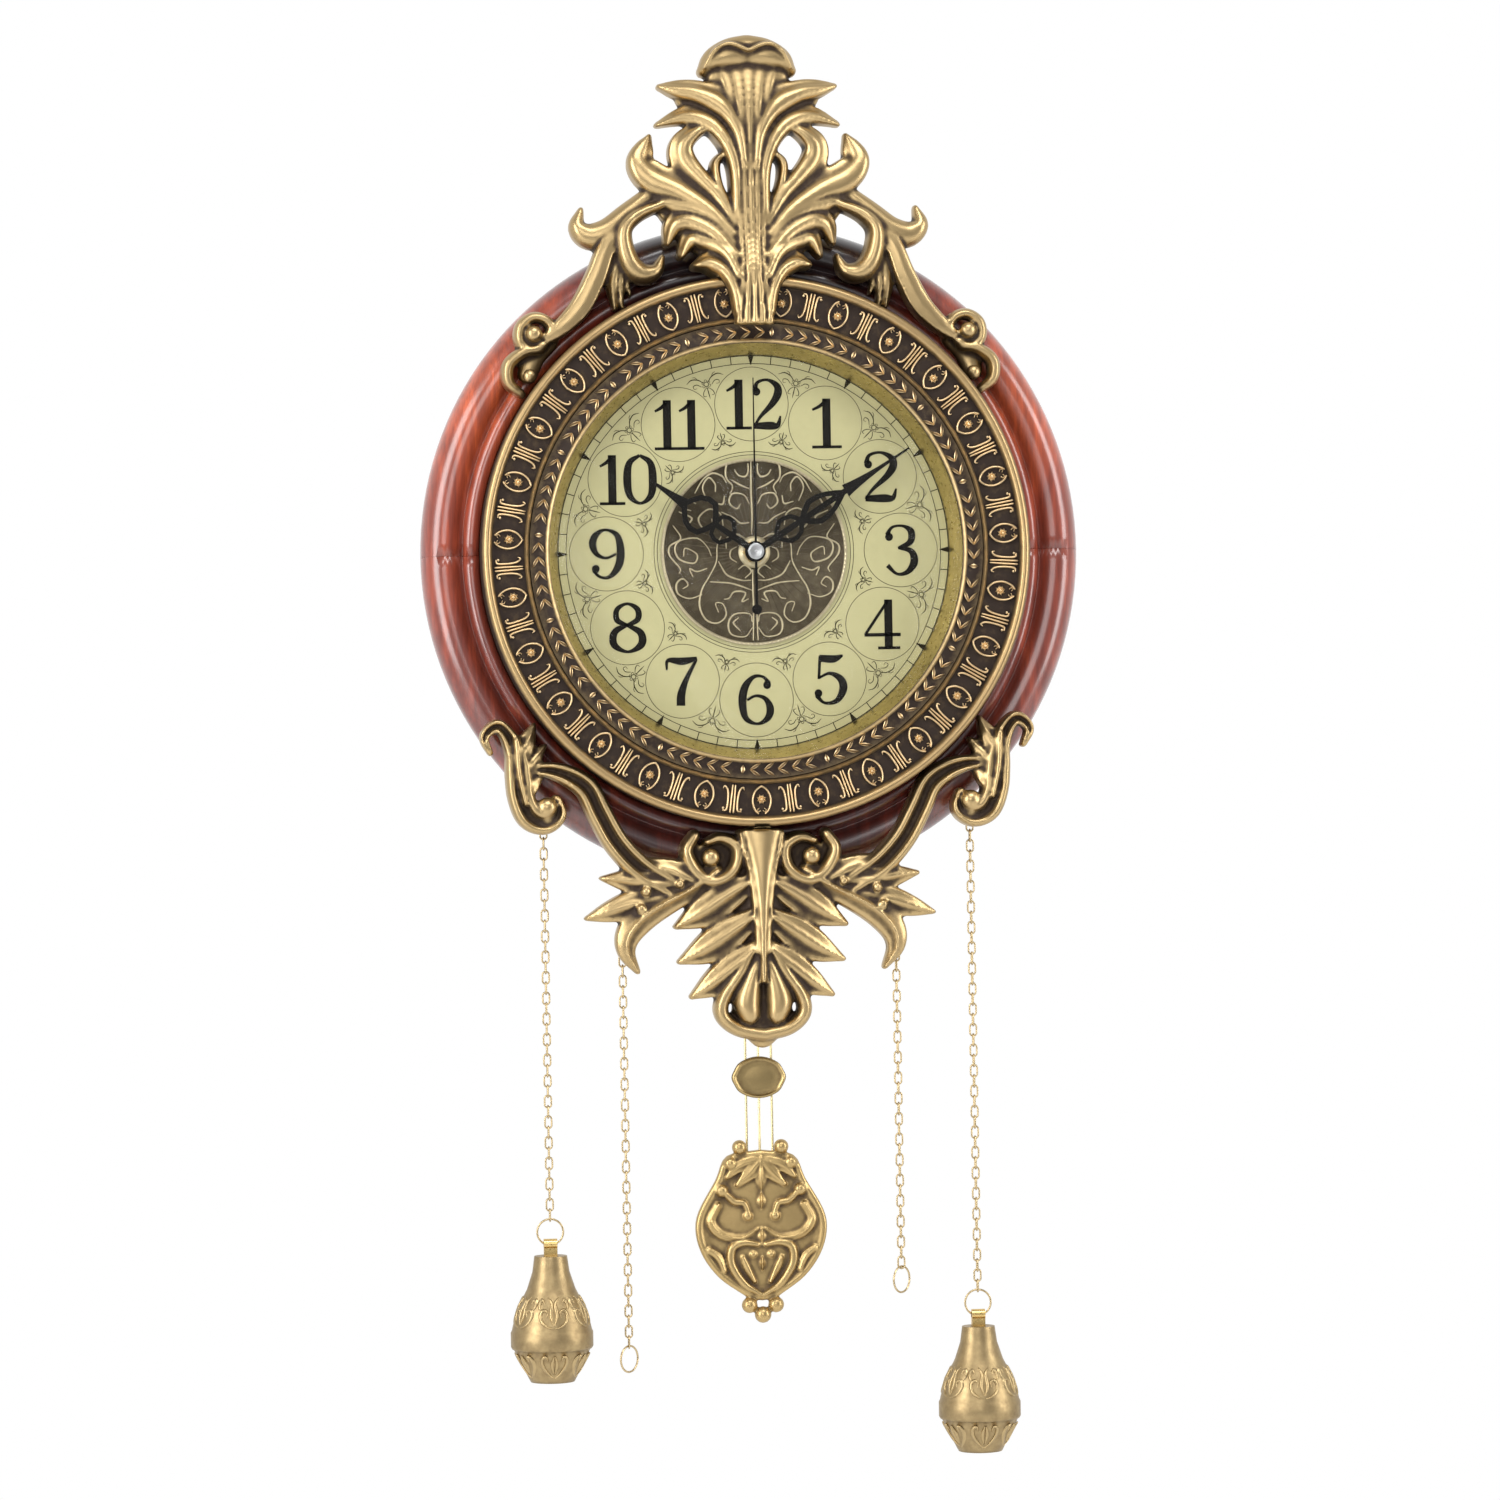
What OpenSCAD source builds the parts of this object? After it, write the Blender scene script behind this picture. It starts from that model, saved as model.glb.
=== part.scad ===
// Wall clock in an antique European style: a turned wood ring, cast ornaments, a quartz
// movement, a pendulum and four hanging chains, two of them with weights.
//
// Origin: the centre of the keyhole's round opening, in the wall plane. +Z is up, the wall is
// the plane y = 0 and the dial faces -Y. Modules are drawn around the dial's own axis, and a
// name that ends in _d is a depth: the distance from the wall towards the viewer.

/* [Wood ring] */
// Width of the turned wood outside the bezel
ring_w = 29; // [24:0.5:40]
// Depth of the wood ring, from the wall to its crest
ring_d = 24; // [23.5:0.5:32]
// Radius of the dowels that join its two halves
dowel_r = 3; // [2:0.25:4]
// Length of those dowels
dowel_l = 24; // [16:1:36]

/* [Bezel, dial and glass] */
// Radius of the dial plate and of the glass
dial_r = 106.8; // [88:0.2:130]
// Width of the cast bezel outside the glass
bezel_w = 30.2; // [25:0.2:38]
// Thickness of the dial plate
dial_t = 1; // [0.6:0.1:2]
// Thickness of the glass
glass_t = 2; // [1.5:0.1:3]
// Room for the hands between the dial and the glass
hand_room = 11.6; // [11:0.2:16]
// Radius of the embossed centre medallion
medallion_r = 46.7; // [38:0.1:56]

/* [Hanger] */
// Height of the keyhole above the dial's axis
hang_z = 100; // [84:1:104]
// Radius of the keyhole's round opening
keyhole_r = 5; // [4:0.25:6]
// Width of the keyhole's slot
keyhole_slot_w = 5; // [4:0.25:6]

/* [Hands] */
// Length of the minute hand
minute_len = 94; // [70:1:96]
// Length of the hour hand
hour_len = 64.5; // [48:0.5:70]
// Length of the second hand
second_len = 86.5; // [60:0.5:92]
// Direction of the minute hand at rest, clockwise from twelve
minute_at = 57; // [0:1:359]

/* [Movement] */
// Width of the movement case
case_w = 60; // [57:1:66]
// Wall thickness of the movement case
case_wall = 1.5; // [1:0.1:2]
// Width of the battery bay's gap for one AA cell
battery_h = 16.1; // [15:0.1:18]
// Radius of the threaded bushing
bushing_r = 4; // [3.8:0.1:5]

/* [Pendulum] */
// Distance from the pendulum's pivot to the widest point of its bob
pendulum_len = 314; // [260:1:380]
// Swing to each side, in degrees
swing = 4; // [2:0.5:5]
// Radius of the pendulum's three rods
rod_r = 0.6; // [0.5:0.1:1]
// Distance between neighbouring rods
rod_gap = 6.5; // [5:0.5:8]
// Width of the bob
bob_w = 67; // [54:1:80]

/* [Chains and weights] */
// Wire thickness of a chain link
link_wire = 0.9; // [0.7:0.05:1.1]
// Inner length of a chain link
link_inner = 5.25; // [4.4:0.05:6.4]
// Links in the left outer chain
links_left_outer = 38; // [20:1:48]
// Links in the left inner chain
links_left_inner = 38; // [20:1:48]
// Links in the right inner chain
links_right_inner = 31; // [20:1:48]
// Links in the right outer chain
links_right_outer = 46; // [20:1:48]
// Outer radius of the rings at the ends of the chains
end_ring_r = 7; // [6:0.25:9]
// Largest radius of a weight
weight_r = 20.6; // [16:0.1:20.8]
// Height of a weight without its tab
weight_h = 62.7; // [50:0.1:80]

/* [Hidden] */
$fn = 96;
cut = 0.5;               // how far a cutter runs past a face
seat_gap = 0.2;          // glue line between pieces that are fixed to each other
slip = 0.08;             // radial clearance of a running fit

// Radii of the case, from the glass outwards
glass_gap = 0.4;
bezel_bore_r = dial_r + glass_gap;
bezel_r = dial_r + bezel_w;
ring_r = bezel_r + ring_w;
ring_bore_r = dial_r + 5.2;
recess_r = ring_bore_r + 12;
board_r = recess_r - 0.5;
leaf_in_r = dial_r - 3.3;
leaf_out_r = dial_r + 6.5;

// Depths of the case, from the wall outwards
board_t = 4;
ledge_d = ring_d - 4;
dial_d = ledge_d + 7;
dial_front_d = dial_d + dial_t;
glass_d = dial_front_d + hand_room;
leaf_d = glass_d + glass_t + 0.1;
flange_d = leaf_d - seat_gap;
frieze_d = flange_d + 1.3;
rim_d = flange_d + 5.5;
casting_d = ring_d + 0.5;
casting_t = 14;
relief_t = 4.5;

// The ornaments are drawn for a wood ring of draw_r, and follow the ring that is made
draw_r = 166;
orn = ring_r / draw_r;

// Hanger plate
hanger_t = 1.5;
hanger_w = 30;
hanger_h = 34;
keyhole_rise = 13;
pocket_w = 13;

// Screws
screw_r = 1.6;
screw_head_r = 3;
board_screw_at = [25, 65, 120, -25, -65, -120];
board_screw_pitch_r = ring_bore_r + 6;
bezel_screw_at = [40, 140, -40, -140];
bezel_screw_pitch_r = (recess_r + bezel_r) / 2;
ornament_screw_r = 2;
crown_screws_at = [[12.5, 149.5], [85.4, 122.7]];
lower_screws_at = [[80, -128.7], [121.5, -101]];

// Movement: its faces, then its wheels' depths from the rear face
washer_t = 1.5;
case_t = 17.5;
case_front_d = dial_d - washer_t;
case_d = case_front_d - case_t;
cover_d = case_front_d - case_wall;
case_low = -36;
train_top = 26.9;
bay_low = train_top + case_wall;
bay_high = bay_low + battery_h;
case_high = bay_high + case_wall;
wheel_t = 0.8;
pinion_t = 1.2;
level_d = [for (at = [3, 5, 7, 9, 12.4, 14.4]) case_d + at];
plate_d = case_d + 10.6;
plate_t = 1;

// Tubes and posts on the dial's axis
second_r = 0.7;
minute_tube_r = 1.8;
hour_tube_r = 2.9;
minute_bore_r = second_r + slip;
minute_bore_wide = minute_tube_r + slip;
hour_bore_r = minute_bore_wide;
bushing_bore_r = hour_tube_r + slip;

// Hands, in order from the dial to the glass
hour_hand_d = dial_front_d + 6;
minute_hand_d = hour_hand_d + 1.6;
second_hand_d = minute_hand_d + 1.4;
hand_t = 0.8;
second_hand_t = 0.6;
medallion_t = 1.15;
nut_t = 2.5;
hour_at = minute_at / 12 + 300;

// Gear train: teeth, module and place of each arbor
rotor_pinion_z = 8;
transfer_z = 48;
transfer_pinion_z = 10;
second_z = 50;
second_pinion_z = 8;
third_z = 60;
third_pinion_z = 8;
centre_z = 64;
cannon_z = 12;
motion_z = 36;
motion_pinion_z = 10;
hour_z = 40;
rotor_m = 0.25;
second_m = 0.3;
third_m = 0.3;
motion_m = 0.5;
third_far = third_m * (second_pinion_z + third_z) / 2;
centre_m = 2 * third_far / (third_pinion_z + centre_z);
transfer_far = second_m * (transfer_pinion_z + second_z) / 2;
rotor_far = rotor_m * (rotor_pinion_z + transfer_z) / 2;
motion_far = motion_m * (cannon_z + motion_z) / 2;
hour_m = 2 * motion_far / (motion_pinion_z + hour_z);
third_dir = 150;
transfer_dir = 45;
motion_dir = -45;
third_at = third_far * [cos(third_dir), sin(third_dir)];
transfer_at = transfer_far * [cos(transfer_dir), sin(transfer_dir)];
rotor_at = (transfer_far + rotor_far) * [cos(transfer_dir), sin(transfer_dir)];
motion_at = motion_far * [cos(motion_dir), sin(motion_dir)];
rotor_post_r = 0.3;
transfer_post_r = 0.5;
third_post_r = 0.35;
knob_shaft_r = 1;
magnet_r = 3;

// Pendulum
pivot_z = -26;
pivot_r = 1;
drive_z = pivot_z - 7;
hook_z = pivot_z - 18;
hub_d = case_d - 5;
rod_d = case_d - 2.3;
hook_plate_t = 1;
hook_plate_d = rod_d - rod_r - hook_plate_t;
bob_z = pivot_z - pendulum_len;
bob_s = bob_w / 67;
bob_d = rod_d - 2.5;
bob_t = 5.8;
plaque_z = bob_z + 76;
rods_low = bob_z + 32 * bob_s;
channel_w = 2 * (rod_gap + rod_r + 8.9 + (ring_r + pivot_z) * tan(swing));
channel_d = rod_d + 4.3;

// Chains: the eyes hang behind the ornaments
chain_d = 21;
eye_r = 2.4;
eye_wire_r = 0.6;
link_pitch = link_inner - 0.1;
link_w = 4.2;
outer_eye_at = orn * [107.5, -134.5];
inner_eye_at = orn * [69, -199];
end_ring_wire_r = 0.5;
tab_w = 6.7;
tab_hole_r = 1.5;
tab_rim = 1.2;
tab_drop = 5.8;

// ---- curves and outlines ----

function between(a, b, c, d, t) =
    0.5 * (2 * b + (c - a) * t + (2 * a - 5 * b + 4 * c - d) * t * t
    + (3 * b - a - 3 * c + d) * t * t * t);

// A smooth curve through the points p, with n pieces between two points
function smooth(p, n) = concat(
    [for (i = [0 : len(p) - 2], j = [0 : n - 1])
        between(p[max(i - 1, 0)], p[i], p[i + 1], p[min(i + 2, len(p) - 1)], j / n)],
    [p[len(p) - 1]]);

// A solid with outline children() between the depths d0 and d1
module slab(d0, d1)
    translate([0, -d0, 0])
        rotate([90, 0, 0])
            linear_extrude(height = d1 - d0)
                children();

// A turned solid around the dial's axis, from a profile of [radius, depth] points
module turned(profile)
    rotate([90, 0, 0])
        rotate_extrude()
            polygon(profile);

// A round bar along the depth
module bar(r, d0, d1, at = [0, 0])
    translate([at[0], 0, at[1]])
        slab(d0, d1)
            circle(r = r);

module both_sides() {
    children();
    mirror([1, 0, 0])
        children();
}

// The direction of a path at its point i
function heading(p, i) =
    let (a = p[max(i - 1, 0)], b = p[min(i + 1, len(p) - 1)], way = [b[0] - a[0], b[1] - a[1]])
    way / norm(way);

// The two edges of a band at its point i, as [left, right]
function edges(p, i, f) =
    let (h = heading(p, i), side = [-h[1], h[0]] * f * p[i][2] / 2, mid = [p[i][0], p[i][1]])
    [mid + side, mid - side];

// A band along the points [x, z, width], with round ends; f scales its width
module stroke(points, f = 1, n = 2) {
    path = smooth(points, n);
    for (i = [0 : len(path) - 2]) {
        a = edges(path, i, f);
        b = edges(path, i + 1, f);
        polygon([a[0], b[0], b[1], a[1]]);
    }
    for (p = [path[0], path[len(path) - 1]])
        if (p[2] > 1)
            translate([p[0], p[1]])
                circle(r = f * p[2] / 2, $fn = 10);
}

module at_height()
    translate([0, 0, -hang_z])
        children();

// ---- wood ring ----

// The moulding, as [share of the ring's width, depth below the crest]
moulding = smooth([
    [0.01, 2.6], [0.06, 1.5], [0.14, 1], [0.21, 1.7], [0.27, 3.6], [0.3, 4.4], [0.36, 2.3],
    [0.48, 0.5], [0.64, 0], [0.79, 2], [0.91, 5.5], [0.98, 10], [1, 14]], 2);

module wood_ring() {
    difference() {
        turned(concat(
            [[recess_r, 0], [ring_r - 8, 0], [ring_r - 3, 2], [ring_r - 0.6, 6]],
            [for (i = [len(moulding) - 1 : -1 : 0])
                [bezel_r + ring_w * moulding[i][0], ring_d - moulding[i][1]]],
            [[bezel_r + 0.3, ledge_d], [ring_bore_r, ledge_d], [ring_bore_r, board_t],
                [recess_r, board_t]]));
        translate([-channel_w / 2, -channel_d, -ring_r - cut])
            cube([channel_w, channel_d + cut, ring_r]);
        ring_dowel_shapes();
        bezel_screw_shapes(cut);
        board_screw_shapes();
        ornament_screw_shapes(cut);
    }
}

module ring_dowel_shapes()
    both_sides()
        translate([bezel_r + ring_w / 2 + 0.5, -ring_d * 0.46, -dowel_l / 2])
            cylinder(r = dowel_r, h = dowel_l);

module half_space(upper)
    translate([-ring_r - 1, -ring_d - 1, upper ? 0.05 : -ring_r - 1.05])
        cube([2 * ring_r + 2, ring_d + 2, ring_r + 1]);

module wood_ring_upper()
    color("#6b1f12")
        intersection() {
            wood_ring();
            half_space(true);
        }

module wood_ring_lower()
    color("#6b1f12")
        intersection() {
            wood_ring();
            half_space(false);
        }

module ring_dowels()
    color("#c79a62")
        ring_dowel_shapes();

// ---- back board and hanger ----

module countersunk(d0, d1, d2, r, head_r, at, extra = 0) {
    bar(r, d0, d2, at);
    bar(head_r, d0 - extra, d1, at);
}

function on_circle(r, a) = r * [sin(a), cos(a)];

module board_screw_shapes(extra = 0)
    for (a = board_screw_at)
        countersunk(0.4, 1.9, 15, screw_r, screw_head_r, on_circle(board_screw_pitch_r, a), extra);

module hanger_screw_shapes(extra = 0)
    for (side = [-1, 1])
        countersunk(0.3, 1.2, board_t, screw_r, screw_head_r - 0.4,
            [side * (hanger_w / 2 - 4.5), hang_z - 8], extra);

module hanger_outline(gap)
    translate([-hanger_w / 2 - gap, hang_z - 14 - gap])
        square([hanger_w + 2 * gap, hanger_h + 2 * gap]);

module back_board()
    color("#8a6a45")
        difference() {
            bar(board_r, 0, board_t);
            slab(-cut, board_t + cut)
                translate([-case_w / 2 - 4, pivot_z - 36])
                    square([case_w + 8, case_high - pivot_z + 40]);
            slab(-cut, hanger_t)
                hanger_outline(seat_gap);
            slab(0, board_t + cut)
                translate([-pocket_w / 2, hang_z - 8])
                    square([pocket_w, 26]);
            board_screw_shapes(cut);
            hanger_screw_shapes();
        }

module board_screws()
    color("#b8b8b4") {
        board_screw_shapes();
        hanger_screw_shapes();
    }

module hanger_plate()
    color("#c9c9c4")
        difference() {
            slab(0, hanger_t)
                hanger_outline(0);
            bar(keyhole_r, -cut, hanger_t + cut, [0, hang_z]);
            slab(-cut, hanger_t + cut) {
                translate([-keyhole_slot_w / 2, hang_z])
                    square([keyhole_slot_w, keyhole_rise]);
                translate([0, hang_z + keyhole_rise])
                    circle(r = keyhole_slot_w / 2);
            }
            hanger_screw_shapes(cut);
        }

// ---- bezel, glass and dial ----

module bezel_ring()
    color("#7d6238")
        difference() {
            turned([
                [bezel_bore_r, ledge_d + seat_gap], [bezel_r, ledge_d + seat_gap],
                [bezel_r, rim_d - 2.5], [bezel_r - 1, rim_d - 0.8], [bezel_r - 2.5, rim_d],
                [bezel_r - 4, rim_d - 0.8], [bezel_r - 5, rim_d - 3], [bezel_r - 5.4, frieze_d],
                [leaf_out_r + 2.9, frieze_d], [leaf_out_r + 2.5, frieze_d + 1.8],
                [leaf_out_r + 1.5, frieze_d + 2.8], [leaf_out_r + 0.6, frieze_d + 1.8],
                [leaf_out_r + 0.3, flange_d], [bezel_bore_r, flange_d]]);
            bezel_screw_shapes();
        }

module bezel_screw_shapes(extra = 0)
    for (a = bezel_screw_at)
        countersunk(3, 6, frieze_d - 6, screw_r, screw_head_r,
            on_circle(bezel_screw_pitch_r, a), extra == 0 ? 0 : 3 + extra);

module bezel_screws()
    color("#b8b8b4")
        bezel_screw_shapes();

module leaf_ring()
    color("#8a6c3d")
        turned([
            [leaf_in_r, leaf_d], [leaf_out_r, leaf_d], [leaf_out_r, leaf_d + 1.9],
            [leaf_in_r + 2.5, leaf_d + 1.2], [leaf_in_r + 1.9, leaf_d + 2.3],
            [leaf_in_r + 0.9, leaf_d + 2.9], [leaf_in_r, leaf_d + 2.1]]);

module glass_lens()
    color("#dfe8e6", 0.35)
        bar(dial_r, glass_d, glass_d + glass_t);

module rehaut_ring()
    color("#a58a4e")
        turned([
            [dial_r - 8.3, dial_front_d], [dial_r, dial_front_d], [dial_r, glass_d - 0.1],
            [dial_r - 3.2, glass_d - 0.1], [dial_r - 3.8, glass_d - 1],
            [dial_r - 8, dial_front_d + 2]]);

module dial_plate()
    color("#cfc690")
        difference() {
            bar(dial_r, dial_d, dial_front_d);
            bar(bushing_r + 0.1, dial_d - cut, dial_front_d + cut);
        }

module dial_retaining_ring()
    color("#8f9297")
        turned([
            [dial_r - 2.8, ledge_d + seat_gap], [dial_r + 0.3, ledge_d + seat_gap],
            [dial_r + 0.3, dial_d], [dial_r - 2.8, dial_d]]);

module dial_medallion()
    color("#6f5a35")
        difference() {
            union() {
                bar(medallion_r, dial_front_d + 0.05, dial_front_d + 0.75);
                turned([
                    [medallion_r - 1.4, dial_front_d + 0.7], [medallion_r, dial_front_d + 0.7],
                    [medallion_r, dial_front_d + medallion_t],
                    [medallion_r - 1.4, dial_front_d + medallion_t]]);
                bar(8, dial_front_d + 0.7, dial_front_d + medallion_t);
            }
            bar(bushing_r + 0.1, dial_front_d, dial_front_d + 3);
        }

// ---- cast ornaments ----

crown_stem = [[0, 112, 20], [0, 126, 17], [0, 140, 14], [0, 160, 15], [0, 190, 17],
    [0, 220, 22], [0, 240, 30]];
crown_strokes = [
    [[0, 246, 22], [10, 246, 18], [18, 242, 12]],
    [[3, 194, 7], [4, 207, 8], [9, 218, 10], [16, 225, 12], [26, 229, 9], [42, 232, 3]],
    [[6, 188, 7], [9, 201, 8], [15, 212, 9], [23, 216.5, 9], [33, 217, 7], [44.5, 213.5, 2.5]],
    [[19, 213, 5], [28, 208.5, 6], [33.5, 202.5, 8.5], [32.5, 194.5, 10], [25, 185, 9],
        [17, 176, 8], [9, 162, 8]],
    [[9, 198, 4], [14, 196, 4.5], [16.5, 192.5, 5], [15, 183, 5], [11, 173, 5], [8, 160, 5]],
    [[8, 158, 8], [20, 171, 9], [35, 181, 11], [48, 186, 12], [54, 193, 10], [50, 205, 4]],
    [[8, 155, 7], [16, 166, 8], [27, 172.5, 9], [38, 174, 8], [49, 178, 4]],
    [[7, 148, 8], [18, 160, 9], [30, 165, 9], [38.5, 162, 8], [41, 155, 3.5]],
    [[6, 137, 7], [12, 149, 8], [21, 155.5, 9], [30, 156, 8], [34.5, 148.5, 3.5]],
    [[7, 118, 6], [9, 131, 7], [14, 140, 8], [21.5, 143.5, 8], [27.5, 142, 5]],
    [[50, 181, 8], [62, 168, 10], [71, 160, 11], [80, 157, 12], [86, 162.5, 9], [84, 170, 5]],
    [[44, 173, 6], [55, 168.5, 7], [62.5, 162, 8], [63.5, 154, 8], [60, 142, 10],
        [54.5, 138, 11], [47, 141, 8], [44, 147, 3]],
    [[66.6, 160, 8], [72.6, 150.7, 9], [77.5, 137.9, 10], [85.4, 122.7, 11],
        [94.8, 112.9, 9], [101, 108.5, 7]],
    [[66, 150, 6], [68.5, 138, 6], [68.5, 127, 3]],
    [[64, 145, 5], [63.5, 132, 4], [62, 127, 2]],
    [[111, 101, 5], [118.5, 97, 6], [121, 90, 6.5], [118.5, 83.5, 6], [113, 81, 5]],
    [[108, 109.4, 15], [109, 109.4, 15]],
    [[100, 106, 9], [108, 98, 9], [112, 90, 9]]
];

lower_spine = [[0, -139, 21], [0, -150, 15], [0, -163, 10], [0, -180, 8], [0, -200, 8],
    [0, -216, 14], [0, -228, 34]];
lower_strokes = [
    [[33, -141, 6], [37, -150, 7], [31, -161, 8], [22, -163, 7], [13, -157, 7],
        [12, -147, 7], [20, -141.5, 6], [30, -142, 6]],
    [[21, -152, 9], [27, -152, 9]],
    [[24, -160, 12], [36, -168, 12], [48, -174, 13], [59, -181, 14], [66, -190, 13],
        [66.5, -199, 10], [63, -207, 4]],
    [[40, -166, 8], [56, -165, 11], [68, -163, 8], [79, -162, 2.5]],
    [[50, -172, 8], [64, -175, 12], [76, -178.5, 9], [87, -181.5, 2.5]],
    [[32, -164, 8], [43, -160, 11], [52, -156, 8], [59, -153, 2.5]],
    [[6, -165, 8], [18, -172, 13], [30, -180, 12], [42, -186.5, 2.5]],
    [[4, -182, 8], [16, -190, 13], [28, -198, 12], [40.5, -204, 2.5]],
    [[4, -198, 8], [14, -207, 13], [25, -215.5, 11], [35, -221.5, 2.5]],
    [[3, -194, 5], [9, -210, 9], [16, -221, 14], [17, -230, 16], [8, -236, 18], [0, -237, 17]],
    [[135.5, -96, 4], [136.5, -89.5, 5.5], [131, -85, 8], [126.5, -88.5, 8],
        [121.5, -98, 11], [120, -109, 13], [119, -120, 13], [115, -129.5, 13],
        [107.5, -132.5, 13], [101.5, -128, 10], [103, -122.5, 8], [108, -123.5, 8]],
    [[119, -99, 8], [115.5, -92, 7], [112, -85, 2]],
    [[120, -110, 9], [114, -102.5, 8], [106.8, -95.5, 2]],
    [[118, -118, 8], [113, -112.5, 7], [108, -109, 2]],
    [[112, -106, 7], [104, -107, 8], [95, -110.5, 11], [86, -117, 12.5], [80.2, -129, 13],
        [72, -144, 13], [60, -157, 13], [44, -166, 11]]
];

// One ornament: a flat-backed casting with room for the bezel, its screws and the chain eyes.
// A low boss closes each screw hole at the front.
module ornament(strokes, spine) {
    difference() {
        union() {
            slab(casting_d, casting_d + casting_t)
                difference() {
                    scale([orn, orn])
                        offset(delta = 0.2) {
                            stroke(spine);
                            for (s = strokes)
                                both_sides()
                                    stroke(s);
                        }
                    circle(r = bezel_r + seat_gap, $fn = 160);
                    for (at = spine[0][1] > 0 ? crown_screws_at : lower_screws_at)
                        both_sides()
                            translate(orn * at)
                                circle(r = ornament_screw_r + 0.03, $fn = 48);
                }
            for (at = spine[0][1] > 0 ? crown_screws_at : lower_screws_at)
                both_sides()
                    bar(ornament_screw_r + 1.2, casting_d + casting_t - 3.9,
                        casting_d + casting_t + 1, orn * at);
        }
        both_sides() {
            eye_shank(outer_eye_at);
            eye_shank(inner_eye_at);
        }
    }
}

// The middle part of an ornament stands higher than its scrolls
module ornament_crest(spine)
    slab(casting_d + casting_t, casting_d + casting_t + relief_t)
        scale([orn, orn])
            difference() {
                stroke(spine, 0.8);
                circle(r = (bezel_r + seat_gap) / orn + 0.5, $fn = 160);
            }

module crown_casting()
    color("#8f713d") {
        ornament(crown_strokes, crown_stem);
        ornament_crest(crown_stem);
        // The stem runs on over the front of the bezel's rim
        translate([-9 * orn, -rim_d - 9, 116 * orn])
            cube([18 * orn, 8.7, 29 * orn]);
        translate([-7 * orn, -rim_d - 9, bezel_r + 1])
            cube([14 * orn, 9 + rim_d - casting_d - 5, 12 * orn]);
    }

module lower_casting()
    color("#8f713d")
        union() {
            ornament(lower_strokes, lower_spine);
            ornament_crest(lower_spine);
        }

module ornament_screw_shapes(extra = 0)
    for (at = concat(crown_screws_at, lower_screws_at))
        both_sides()
            countersunk(3, 6, casting_d + casting_t - 4, ornament_screw_r,
                ornament_screw_r + 1.8, orn * at, extra == 0 ? 0 : 3 + extra);

module ornament_screws()
    color("#b8b8b4")
        ornament_screw_shapes();

module eye_shank(at)
    bar(eye_wire_r, chain_d + eye_r, casting_d + 6, at);

module eye_screw(at) {
    translate([at[0], -chain_d, at[1]])
        rotate([0, 90, 0])
            rotate_extrude()
                translate([eye_r, 0])
                    circle(r = eye_wire_r, $fn = 24);
    eye_shank(at);
}

module chain_eyes()
    color("#c8a96a")
        both_sides() {
            eye_screw(outer_eye_at);
            eye_screw(inner_eye_at);
        }

// ---- movement ----

// Outline of a gear; thin teeth leave every pair of wheels free to turn
function tooth(z, m, i) =
    let (mid = 360 * i / z, r = z * m / 2, low = r - 1.35 * m, high = r + 0.85 * m)
    [for (p = [[low, -0.25], [high, -0.1], [high, 0.1], [low, 0.25]])
        p[0] * [cos(mid + 360 * p[1] / z), sin(mid + 360 * p[1] / z)]];

module gear(z, m, phase, d0, d1, at = [0, 0])
    translate([at[0], 0, at[1]])
        slab(d0, d1)
            rotate(phase)
                polygon([for (i = [0 : z - 1]) each tooth(z, m, i)]);

// A wheel's gap faces the tooth of the wheel it meets, in the direction a
function gap_phase(a, z) = a + 180 + 180 / z;

module case_outline(gap = 0)
    offset(r = 2 - gap, $fn = 16)
        translate([-case_w / 2 + 2, case_low + 2])
            square([case_w - 4, case_high - case_low - 4]);

module case_room(low, high)
    translate([-case_w / 2 + case_wall, low])
        square([case_w - 2 * case_wall, high - low]);

pillars_at = [[-20, -15], [15, -15], [-20, 15]];

module movement_rear_case()
    color("#1c1c1e")
        difference() {
            union() {
                difference() {
                    slab(case_d, cover_d)
                        case_outline();
                    slab(case_d + case_wall, cover_d + cut)
                        case_room(case_low + case_wall, train_top);
                    slab(case_d - cut, cover_d - case_wall)
                        case_room(bay_low, bay_high);
                }
                for (at = pillars_at)
                    bar(1.5, case_d + 1, plate_d, at);
                bar(2, case_d + 1, case_d + 2.5);
                bar(rotor_post_r, case_d + 1, case_d + 7.8, rotor_at);
                bar(0.8, case_d + 1, level_d[0] - 0.4, rotor_at);
                bar(transfer_post_r, case_d + 1, level_d[1] + 1.2, transfer_at);
                bar(1, case_d + 1, level_d[0] - 0.1, transfer_at);
                bar(third_post_r, case_d + 1, level_d[3] + 1.2, third_at);
                bar(0.9, case_d + 1, level_d[2] - 0.1, third_at);
            }
            bar(second_r + slip, case_d + 0.4, case_d + 4);
            bar(knob_shaft_r + slip, case_d - cut, case_d + 4, motion_at);
            bar(pivot_r, case_d - cut, case_d + 1.4, [0, pivot_z]);
        }

module movement_front_case()
    color("#232326")
        difference() {
            slab(cover_d, case_front_d)
                case_outline();
            bar(bushing_r, cover_d - cut, case_front_d + cut);
        }

module threaded_bushing()
    color("#c9a24a")
        difference() {
            union() {
                bar(bushing_r, cover_d - 0.5, hour_hand_d - 1);
                bar(bushing_r + 1.5, cover_d - 0.5, cover_d);
            }
            bar(bushing_bore_r, cover_d - 1, hour_hand_d);
        }

module dial_washer()
    color("#2a2a2a")
        difference() {
            bar(bushing_r + 6, case_front_d, dial_d);
            bar(bushing_r + 0.1, case_front_d - cut, dial_d + cut);
        }

module bushing_nut()
    color("#c9a24a")
        difference() {
            slab(dial_front_d + medallion_t + 0.05, dial_front_d + medallion_t + 0.05 + nut_t)
                circle(r = bushing_r + 1.8, $fn = 6);
            bar(bushing_r, dial_front_d, dial_front_d + medallion_t + nut_t + 1);
        }

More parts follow.
